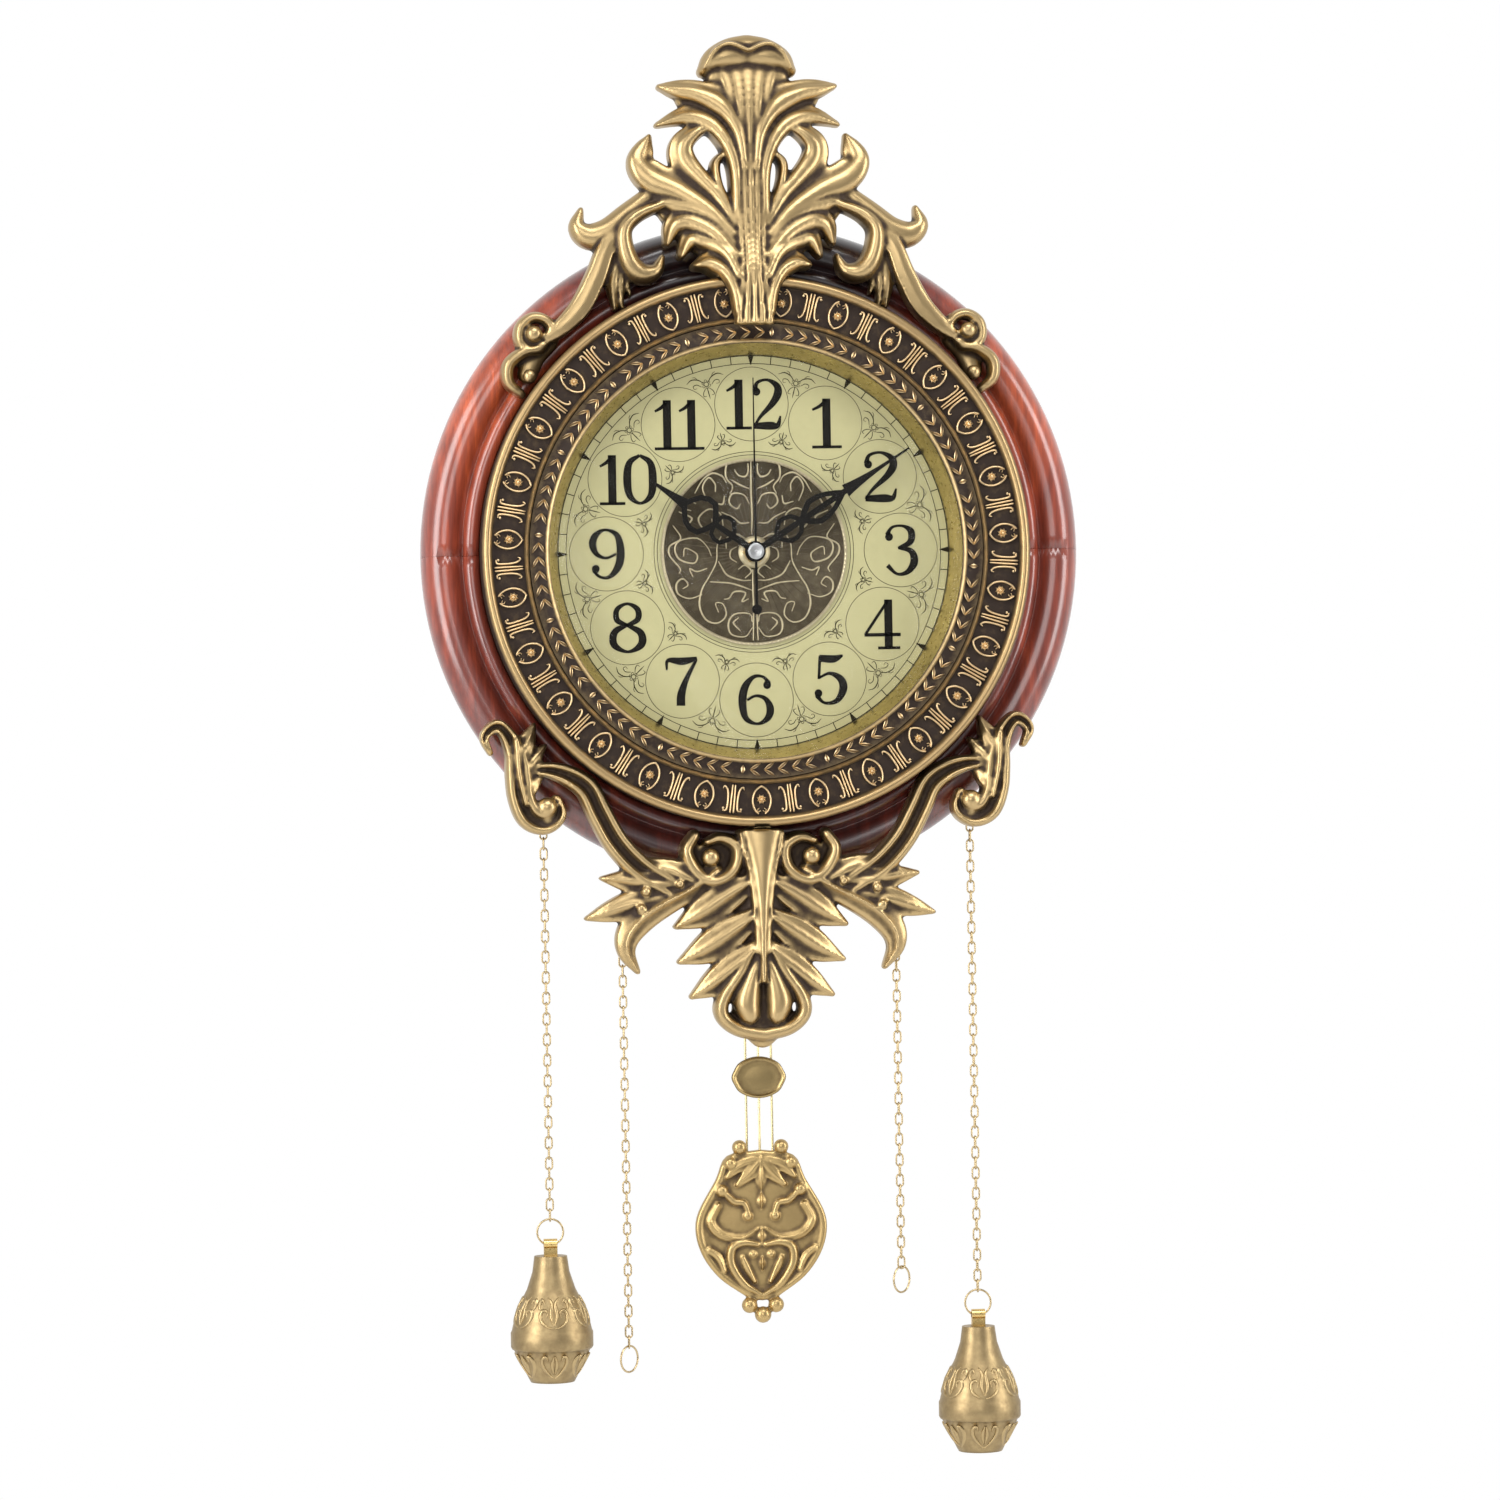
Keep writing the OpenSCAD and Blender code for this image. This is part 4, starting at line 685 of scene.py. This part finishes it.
for path in SCROLLS:
    m = len(path)
    medallion.loft([(x, z, 1.15 - 0.5 * abs(2 * i / (m - 1) - 1), 29.15)
                    for i, (x, z) in enumerate(path)], 28.7, n=4, low=0.1)
medallion.mirror()
old_brass = antique("medallion_patina", (0.52, 0.45, 0.29), (0.062, 0.046, 0.023), 28.74, 29.3)
smoothed_copy("medallion_base", "dial_medallion", old_brass, "frame")
dress(medallion.mesh("medallion_scrolls"), "medallion_scrolls", old_brass, "frame", (), 50)

# ---------------------------------------------------------------------------------------------
# The crown: a flat-backed resin casting of acanthus leaves round a ribbed stem, lacquered in
# antique gold with brown patina in its hollows. Screws from behind hold it on the ring, and its
# stem runs down over the bezel's rim.
WALL_SIDE = 24.6
RIM_FRONT = 47.35
RIM_R = 137.6


def cast(name, solid, replaced, mat, fine=0.85, body="frame"):
    """Shapes melted into one casting, with a point attribute that is high on its raised parts."""
    mesh = solid.mesh(name)
    obj = bpy.data.objects.new(name, mesh)
    bpy.context.collection.objects.link(obj)
    melt = obj.modifiers.new("melt", "REMESH")
    melt.mode = "VOXEL"
    melt.voxel_size = fine * MM
    bpy.context.view_layer.update()
    full = bpy.data.meshes.new_from_object(obj.evaluated_get(bpy.context.evaluated_depsgraph_get()))
    bpy.data.objects.remove(obj)
    count = len(full.vertices)
    co = np.empty(count * 3, np.float32)
    full.vertices.foreach_get("co", co)
    co = co.reshape(-1, 3).astype(float)
    ends = np.empty(len(full.edges) * 2, np.int32)
    full.edges.foreach_get("vertices", ends)
    ends = ends.reshape(-1, 2)
    near = np.bincount(ends.ravel(), minlength=count)[:, None]

    def blur(values, times, share):
        for _ in range(times):
            total = np.zeros_like(values)
            for k in range(values.shape[1]):
                total[:, k] = (np.bincount(ends[:, 0], values[ends[:, 1], k], count)
                               + np.bincount(ends[:, 1], values[ends[:, 0], k], count))
            values = values + share * (total / near - values)
        return values

    co = blur(co, 3, 0.5)
    if body == "frame":  # the castings over the bezel rest on its rim
        far = np.hypot(co[:, 0], co[:, 2] + HANG_Z * MM)
        inside = (far < RIM_R * MM) & (co[:, 1] > -RIM_FRONT * MM)
        co[inside, 1] = -RIM_FRONT * MM
    full.vertices.foreach_set("co", co.astype(np.float32).ravel())
    full.update()
    normals = np.empty(count * 3, np.float32)
    full.vertex_normals.foreach_get("vector", normals)
    normals = normals.reshape(-1, 3)
    close = ((co - blur(co, 14, 0.6)) * normals).sum(1) / MM
    wide = ((co - blur(co, 60, 0.6)) * normals).sum(1) / MM
    lift = np.clip(0.5 + close * 1.3 + wide * 0.22, 0, 1)
    attribute = full.attributes.new("raised", "FLOAT", "POINT")
    attribute.data.foreach_set("value", blur(lift[:, None], 1, 0.5).ravel().astype(np.float32))
    return dress(full, name, mat, body, replaced, 180)


cast_gold = antique("cast_resin_gold", (0.38, 0.275, 0.135), (0.028, 0.014, 0.006), 0.08, 0.68, 0.36,
                    "raised")
crown = Solid()
for points, section in (
        ([(0, 249, 18, 41), (9, 248, 16, 42), (17, 245, 12, 41), (22, 240, 6, 38)], "round"),
        ([(0, 249, 3.5, 44.5), (9.4, 252.4, 3.5, 45), (17, 249, 3, 43.5), (22.3, 240, 2, 40)], "round"),
        ([(2, 190, 5, 46), (4, 207, 7, 46), (9, 218, 9, 45), (15.5, 225, 11, 44), (26, 229.5, 9, 42),
          (36, 231, 7, 39), (44.2, 232.4, 2.2, 36)], "shell"),
        ([(6, 165, 6, 46), (6, 188, 7, 46), (9, 201, 8, 45.5), (15, 211, 9, 44), (23, 216.5, 9, 42),
          (33, 217.5, 7, 39), (45.5, 213.3, 2.2, 35)], "shell"),
        ([(19, 213.5, 4, 41), (28, 208.8, 7, 42), (33.7, 202.5, 9.5, 41.5), (32.6, 194.5, 10.5, 41),
          (25, 185, 9, 42.5), (17, 176, 8, 44), (9, 162, 7, 46)], "shell"),
        ([(9, 198.3, 3, 42), (14, 197, 4.2, 42), (17, 192.5, 5.4, 42.5), (15.7, 183, 5, 43),
          (11.5, 173, 4.5, 44), (8, 160, 4.5, 45)], "round"),
        ([(8, 158, 8, 47), (20, 171, 9.5, 45), (35, 181, 11.5, 42), (48, 187, 13, 41),
          (54, 194, 11, 40), (52, 201.5, 8, 37), (49.3, 207.5, 2.5, 34)], "shell"),
        ([(8, 153, 7, 48), (16, 165, 8.5, 46), (27, 172, 9.5, 44), (38, 175, 9, 41),
          (51, 179.5, 5, 37)], "shell"),
        ([(7, 147, 8, 51), (18, 159.5, 9.5, 48), (30, 165.7, 10, 44.5), (38.3, 163, 8, 42),
          (41.7, 154, 3, 38)], "shell"),
        ([(6, 137, 7, 54), (12, 149, 8.5, 51), (21, 155.3, 9.5, 47), (30, 156, 8, 44),
          (34.9, 147.5, 3, 40)], "shell"),
        ([(7, 118, 6, 54.5), (9, 131, 7, 54.5), (14, 140, 8, 53), (21.5, 144, 8, 51),
          (28.5, 142.3, 3, 49)], "shell"),
        ([(48, 180, 8, 38), (61, 168.5, 12, 39), (71, 160.5, 13, 39.5), (80, 158, 13, 39),
          (86, 163, 9, 38), (84, 171.5, 3, 34)], "round"),
        ([(42, 174, 5, 40), (55, 168.8, 7, 42), (62.5, 162, 8.5, 43), (63.3, 153.5, 10, 43),
          (60.3, 144, 11, 42.5), (54.5, 139, 11, 41), (47.3, 140.5, 8, 39),
          (43.8, 147.5, 3, 35)], "round"),
        ([(66.6, 160, 8, 40), (72.6, 150.7, 9.4, 41), (77.5, 137.9, 10.5, 41),
          (85.4, 122.7, 11, 40), (94.8, 112.9, 9, 39), (102, 107.5, 6, 37)], "band"),
        ([(66.5, 151, 6, 38), (69.5, 136, 5, 37), (68, 121.8, 2, 33)], "shell"),
        ([(64.5, 148, 5, 38), (65, 134, 4, 36), (64, 122, 1.5, 33)], "round"),
        ([(62.5, 144, 4, 37), (61.8, 135, 3, 35), (60, 128, 1.5, 33)], "round"),
        ([(98.5, 108, 6, 37), (101.5, 115.5, 5.5, 38), (108.5, 118, 5.5, 38), (115, 113.5, 6, 38),
          (115.5, 105.5, 6, 37.5), (109.5, 101.5, 5.5, 37), (104, 104, 5, 37)], "round"),
        ([(106, 102, 6, 37), (114, 100.5, 6, 38), (121.5, 94.5, 6.5, 38), (121.5, 85.5, 6, 37),
          (115, 79.8, 4.5, 35)], "round"),
        ([(101, 106, 10, 32), (108, 100, 12, 32), (112, 90, 10, 32)], "round")):
    if section == "shell":
        points = [(x, z, w * 1.3, d) for x, z, w, d in points]
    crown.loft(points, WALL_SIDE, section, low=0.5)
for points in ([(8, 142, 14, 41), (18, 152, 16, 40), (30, 163, 18, 38), (40, 172, 14, 36)],
               [(8, 165, 10, 41), (20, 176, 12, 39), (34, 186, 10, 37)],
               [(6, 196, 8, 40), (12, 214, 12, 40), (22, 223, 12, 38), (32, 226, 8, 35)],
               [(8, 232, 14, 39), (14, 236, 14, 38)]):
    crown.loft(points, WALL_SIDE, "round", low=0.7)
crown.ball(108.8, 109.4, 4.4, 36.5)
crown.ball(111.2, 88.4, 3.8, 36.5)
crown.mirror()
stem = np.array([(112, 10.2, 54.6), (126, 8, 54.6), (140, 6.6, 53.5), (160, 7, 48), (190, 8, 45.5),
                 (220, 10.5, 43.5), (243, 14, 40)])
crown.loft([(0, z, 2 * w - 1, d - 3.2) for z, w, d in stem], WALL_SIDE, "round", low=0.8, blunt=False)
for k in range(5):
    u = (2 * k - 4) / 5
    crown.loft([(u * w, z, 2.1 * w / 5, d - 1.6 * u * u - max(0, (z - 225) * 0.1))
                for z, w, d in stem], 38.0, "round", low=0.6, blunt=False)
cast("crown", crown, ("crown_casting",), cast_gold)

# ---------------------------------------------------------------------------------------------
# The lower ornament: the second resin casting, screwed on the ring below. Two scrolls and a
# spray of leaves hide the four eyes that the chains hang from.
lower = Solid()
for points, section in (
        ([(33, -141, 6, 40), (37.3, -149, 7, 41), (32, -160, 8, 41), (23, -164, 7, 42),
          (13.5, -158, 7, 42), (12, -147.5, 7, 42), (19.5, -142.5, 6, 41), (27, -144.5, 4, 40)], "round"),
        ([(14, -150, 10, 33), (25, -153, 20, 33), (34, -152, 10, 33)], "flat"),
        ([(24, -160, 11, 41), (36, -168, 12, 42), (48, -174, 14, 42), (59, -181, 15, 41.5),
          (66.5, -190, 13, 40), (67.5, -199, 9, 38), (62, -208.7, 3, 34)], "ridge"),
        ([(40, -166, 8, 39), (56, -165, 11.5, 39), (68, -163, 9, 37.5), (79.6, -161.7, 2, 34)], "leaf"),
        ([(50, -172, 8, 39), (64, -175, 12, 38.5), (76, -178.5, 9, 37), (87.4, -181.7, 2, 33)], "leaf"),
        ([(32, -165, 8, 40), (43, -160, 12, 40), (52, -156, 8, 38), (59.3, -153, 2, 34)], "leaf"),
        ([(6, -165, 8, 42), (18, -172, 14, 41), (30, -180, 13, 39.5), (42.8, -186.7, 2.5, 35)], "leaf"),
        ([(4, -182, 8, 42), (16, -190, 14, 41), (28, -198, 13, 38.5), (41.2, -204.2, 2.5, 34)], "leaf"),
        ([(3, -198, 8, 41), (14, -207, 13, 40), (25, -215.5, 11, 38), (35.4, -221.7, 2.5, 34)], "leaf"),
        ([(1.5, -192, 4, 41), (11, -209, 6.5, 40.5), (19.5, -222, 7.5, 39.5), (20.5, -231, 7.5, 38.5),
          (13, -238, 7.5, 38), (0, -241, 7.5, 38)], "round"),
        ([(0, -205, 8, 34), (0, -222, 26, 35.5), (0, -231, 30, 35.5), (0, -240, 16, 34)], "round"),
        ([(1.5, -200, 4, 39.5), (5.5, -213, 10, 41), (8, -224, 14, 41.5), (7, -230, 12, 41)], "round"),
        ([(2, -150, 26, 37), (3, -172, 26, 37), (2, -196, 20, 36), (2, -215, 20, 35)], "round"),
        ([(133.8, -98.5, 3, 36), (136.8, -90.5, 5, 37.5), (131, -85, 7, 38.5), (126, -88.5, 8, 39),
          (121.5, -98, 11, 39.5), (120, -109, 13.5, 40), (119, -120, 13.5, 40),
          (115, -130, 13.5, 40), (107.5, -133.5, 12, 39), (101, -129.5, 9.5, 38.5),
          (101.5, -122.5, 6, 37.5)], "twin"),
        ([(121, -92, 5, 40.5), (120, -109, 4, 41.5), (117, -124, 3, 41)], "round"),
        ([(119, -101, 8, 39), (115.5, -92.5, 7.5, 38), (111.9, -84.6, 2, 34)], "leaf"),
        ([(120, -112, 9, 39), (114, -103, 9, 38), (106.5, -95, 2, 34)], "leaf"),
        ([(118, -120, 8, 39), (113, -113, 7.5, 38), (107.6, -108.6, 2, 34)], "leaf"),
        ([(110, -107, 6, 38), (104, -107.5, 8.5, 39), (95, -110.5, 11, 39.5), (86, -117, 12.5, 40),
          (80.2, -129, 13, 40), (72, -144, 13, 40), (60, -157, 13, 40), (44, -167, 11, 40)], "twin"),
        ([(10.8, -140, 2.4, 43), (8.5, -150, 2.2, 43.5), (6, -163, 2, 43.5), (4.2, -180, 1.8, 43),
          (3, -200, 1.6, 42)], "round")):
    if section == "leaf":
        points = [(x, z, w * 1.18, d) for x, z, w, d in points]
    lower.loft(points, WALL_SIDE, section, low=0.5)
for x, z, r, d in ((25.3, -152.2, 4.8, 37), (106.3, -125.8, 5.4, 35), (58, -168.4, 2.6, 38.5),
                   (60.5, -177, 2.6, 39), (41, -165, 2.2, 39.5), (106, -132, 7, 30)):
    lower.ball(x, z, r, d)
lower.mirror()
lower.loft([(0, -138.4, 20.5, 44), (0, -150, 15, 45), (0, -163, 10, 45.5), (0, -180, 6, 45),
            (0, -196, 4, 44), (0, -215, 3, 42.5)], WALL_SIDE, "round", low=0.8, blunt=False)
cast("lower_ornament", lower, ("lower_casting",), cast_gold)

# ---------------------------------------------------------------------------------------------
# The movement: a black ABS case with a nylon gear train, copper coils, a steel stator, a circuit
# board and steel contacts, held to the dial by a brass bushing and a nut over a rubber washer.
black_case = plain("moulded_abs", (0.018, 0.018, 0.02), 0.45, 0, 0.2, 1.2)
nylon = plain("natural_nylon", (0.78, 0.75, 0.66), 0.45, 0, 0.05, 1.0)
brass = plain("turned_brass", (0.70, 0.50, 0.20), 0.3, 1.0, 0.1, 1.0)
paint(black_case, "movement_rear_case", "movement_front_case", "setting_knob")
paint(nylon, "transfer_wheel", "third_wheel", "centre_wheel", "setting_wheel", "hour_wheel",
      "minute_arbor", "train_plate", "pendulum_hanger")
paint(brass, "threaded_bushing", "bushing_nut", "pendulum_hook_plate", "chain_eyes")
paint(plain("butyl_rubber", (0.02, 0.02, 0.02), 0.8, 0, 0.2), "dial_washer")
paint(plain("copper_winding", (0.62, 0.25, 0.10), 0.35, 1.0, 0.25, 6.0, (0.2, 0.2, 3)),
      "stepper_coil", "pendulum_coil")
paint(plain("circuit_laminate", (0.03, 0.14, 0.06), 0.4, 0, 0.2), "circuit_board")
paint(plain("ferrite_magnet", (0.06, 0.06, 0.065), 0.5, 0.6, 0.2), "pendulum_magnet", "rotor")
paint(plain("bright_steel", (0.62, 0.62, 0.63), 0.28, 1.0, 0.08, 1.5), "battery_contacts",
      "stator_plate", "pendulum_pivot_pin")

# ---------------------------------------------------------------------------------------------
# The hands: stamped steel in black enamel, pressed on their tubes. The hour and minute hands are
# openwork spades, and the second hand's steel arbor shows as a bright cap.
enamel = plain("black_enamel", (0.006, 0.005, 0.004), 0.5, 0, 0.2, 1.0, coat=0.03, gloss=0.12)
for hand, body in (("hour_hand", "hour_assembly"), ("minute_hand", "minute_assembly"),
                   ("second_hand", "second_assembly")):
    smoothed_copy(hand + "_enamel", hand, enamel, body)
paint(plain("arbor_steel", (0.75, 0.75, 0.76), 0.25, 1.0, 0.05, 1.0), "second_wheel")
cap = Solid()
front = -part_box("second_hand")[0][1] / MM
cap.tube([[(r * sin(2 * pi * j / 32), d, r * cos(2 * pi * j / 32)) for j in range(32)]
          for r, d in ((4.0, front + 0.02), (4.0, front + 0.35), (3.4, front + 0.6),
                       (2.6, front + 0.6), (2.2, front + 0.4), (0.1, front + 0.45))])
dress(cap.mesh("hand_cap"), "hand_cap", steel, "second_assembly", (), 40)

# ---------------------------------------------------------------------------------------------
# The pendulum: three drawn brass rods hooked on the movement's hanger, with a plain oval plaque
# and a cast bob of leaves and balls in a scalloped outline.
pale_brass = plain("drawn_brass", (0.78, 0.66, 0.36), 0.28, 1.0, 0.08, 1.5)
smoothed_copy("rods", "pendulum_rods", pale_brass, "pendulum")
bob_z = -340.0
bob_back = -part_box("pendulum_bob")[1][1] / MM
bob_gold = antique("bob_gold", (0.38, 0.27, 0.12), (0.06, 0.034, 0.014), 0.04, 0.64, 0.36, "raised")

bob = Solid()
half = spline([(0, 39.5), (16.8, 36.6), (22.7, 24.7), (31.6, 8.9), (33.2, -2), (29.7, -13.8),
               (21.7, -24.7), (10.9, -32.6), (5.9, -35.6), (0, -36.5)], 4)
whole = [(x, z) for x, z in half] + [(-x, z) for x, z in half[-2:0:-1]]
bob.tube([[(x * s, bob_back + d, bob_z + 1 + (z - 1) * s) for x, z in whole]
          for s, d in ((0.97, 0), (1.0, 1.0), (1.0, 4.6), (0.985, 5.6), (0.94, 6.2), (0.88, 5.2),
                       (0.8, 4.8), (0.4, 5.6))])
for points, section in (
        ([(22, 12, 4, 7.6), (25.5, 4, 5, 7.8), (20.5, -2.5, 5, 7.8), (10, -4.5, 4, 7.6),
          (2, 0, 2.5, 7)], "ridge"),
        ([(2, -8, 3, 7.4), (9, -7, 4, 7.6), (15, -9.5, 4.6, 7.8), (15.5, -18, 4.6, 7.6),
          (9, -28, 4, 7.4), (0.5, -33.5, 2.5, 7)], "round"),
        ([(1, 33, 7, 7.4), (5.5, 28, 7, 7.8), (12, 22, 2.5, 7)], "leaf"),
        ([(3, 34, 5, 7.2), (11, 31.5, 6, 7.6), (17, 26, 2.5, 7)], "leaf"),
        ([(20, 20, 3, 7), (14, 14, 4, 7.4), (9, 13, 3.5, 7.4), (7, 9, 3, 7.2)], "round"),
        ([(4, -27, 2, 6.8), (8, -19, 3.4, 7.2), (10, -14, 2, 6.8)], "leaf"),
        ([(27, -10, 3, 7), (22, -14, 4, 7.4), (19, -21, 2.5, 7)], "leaf")):
    bob.loft([(x, bob_z + z, w, bob_back + d) for x, z, w, d in points], bob_back + 1, section,
             low=0.6)
for x, z, r in ((10.6, 41, 3.9), (15.4, 33, 3.5), (19.8, 19.3, 3.5), (6.7, -38.6, 4.2),
                (7, 6.4, 2.8), (4.5, -13, 2.2)):
    bob.ball(x, bob_z + z, r, bob_back + 4.9)
bob.mirror()
bob.ball(0, bob_z - 43.5, 4.4, bob_back + 4.9)
for z0, z1, w in ((36, 20, 8), (17.5, 10, 4), (0, -8, 4), (-14.5, -21, 3.4)):
    bob.loft([(0, bob_z + z0, w * 0.4, bob_back + 7.2), (0, bob_z + (z0 + z1) / 2, w, bob_back + 7.9),
              (0, bob_z + z1, w * 0.25, bob_back + 7)], bob_back + 1, "ridge", low=0.6)
cast("bob", bob, ("pendulum_bob",), bob_gold, 0.5, "pendulum")

plaque_low, plaque_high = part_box("pendulum_plaque")
plaque_z = (plaque_low[2] + plaque_high[2]) / 2 / MM + HANG_Z
back = -plaque_high[1] / MM
plaque = Solid()
plaque.tube([[(13.5 * s * cos(2 * pi * j / 56) * (1 + 0.02 * cos(16 * pi * j / 56)), back + d,
               plaque_z + 10.5 * s * sin(2 * pi * j / 56)) for j in range(56)]
             for s, d in ((0.96, 0), (1.0, 0.5), (1.0, 1.9), (0.96, 2.7), (0.90, 2.9), (0.85, 2.4),
                          (0.80, 2.1), (0.5, 2.5), (0.02, 2.7))])
dress(plaque.mesh("plaque"), "plaque",
      antique("plaque_gold", (0.30, 0.22, 0.10), (0.08, 0.045, 0.02), back + 1.6, back + 2.6),
      "pendulum", ("pendulum_plaque",), 50)

# ---------------------------------------------------------------------------------------------
# The chains and rings: welded links of thin pale brass wire from the eyes behind the lower
# ornament, with a split ring for each weight and a pull ring on each inner chain.
chain_brass = plain("brass_wire", (0.50, 0.39, 0.22), 0.27, 1.0, 0.1, 1.2)
paint(chain_brass, "chain_left_outer", "chain_left_inner", "chain_right_inner",
      "chain_right_outer", "split_ring_left", "split_ring_right", "pull_ring_left",
      "pull_ring_right")

# ---------------------------------------------------------------------------------------------
# The weights: turned brass acorns round a plain band, with six pressed leaves above it and six
# below, each hung from a flat tab on the outer chain's split ring.
weight_gold = antique("weight_brass", (0.37, 0.275, 0.14), (0.07, 0.035, 0.015), 0.0, 1.0, 0.32, "tone")
WEIGHT = [(0, 8.2), (7.9, 9.3), (16.4, 12.1), (25.4, 16.7), (34.5, 19.5), (36.8, 20.1),
          (46.1, 20.0), (54.5, 15.3), (62.7, 11)]


WEIGHT_D = 21


def weight_leaf(top, point, lift):
    """A point on the weight, from [sideways, down] in millimetres."""
    side, down = point
    r = np.interp(down, [p[0] for p in WEIGHT], [p[1] for p in WEIGHT]) + lift
    return (r * sin(side / r), WEIGHT_D + r * cos(side / r), top - down)


for side, name in (("left", "weight_left"), ("right", "weight_right")):
    low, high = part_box(name)
    x0 = (low[0] + high[0]) / 2 / MM
    top = high[2] / MM + HANG_Z
    body = smoothed_copy(name + "_turned", name, weight_gold, name)
    tone = body.data.attributes.new("tone", "FLOAT", "POINT")
    tone.data.foreach_set("value", np.full(len(body.data.vertices), 0.62, np.float32))
    relief = Solid()
    for mirror in (-1, 1):
        for path in (((0.3, 34.5), (3.6, 33.6), (6.4, 31), (6.9, 27.8), (5.2, 25.6), (3.2, 26.6),
                      (3.6, 29)), ((0.3, 33), (1.6, 28), (0.8, 22.5), (2.6, 19.5)),
                     ((6.2, 27), (7.4, 23.5), (5.6, 20.5), (4.4, 22.6)),
                     ((0.3, 60), (3.2, 57.4), (6.0, 53.4), (6.4, 49.8), (4.4, 48.8), (3.4, 51.4)),
                     ((0.3, 48.6), (1.2, 53), (0.3, 58))):
            rings = []
            curve = spline(path, 4)
            ways = np.gradient(curve, axis=0)
            ways /= np.linalg.norm(ways, axis=1)[:, None]
            for i, (p, w) in enumerate(zip(curve, ways)):
                wide = 0.25 + 0.75 * sin(pi * min(max(i / (len(curve) - 1), 0.03), 0.97))
                rings.append([weight_leaf(top, (mirror * (p[0] - w[1] * wide * cos(t)),
                                                p[1] + w[0] * wide * cos(t)),
                                          -0.3 + 1.0 * sin(t) * min(wide * 1.5, 1))
                              for t in np.linspace(0, pi, 7)])
            relief.tube(rings)
    relief.verts = [(x + x0, d, z) for x, d, z in relief.verts]
    leaf = repeat_round(relief.mesh(name + "_leaf"), name + "_leaves", 6, 0,
                        weight_gold, name, (x0, WEIGHT_D, 0), "Z", 60)
    lift = leaf.data.attributes.new("tone", "FLOAT", "POINT")
    lift.data.foreach_set("value", np.full(len(leaf.data.vertices), 0.9, np.float32))
    paint(brass, "weight_tab_" + side)
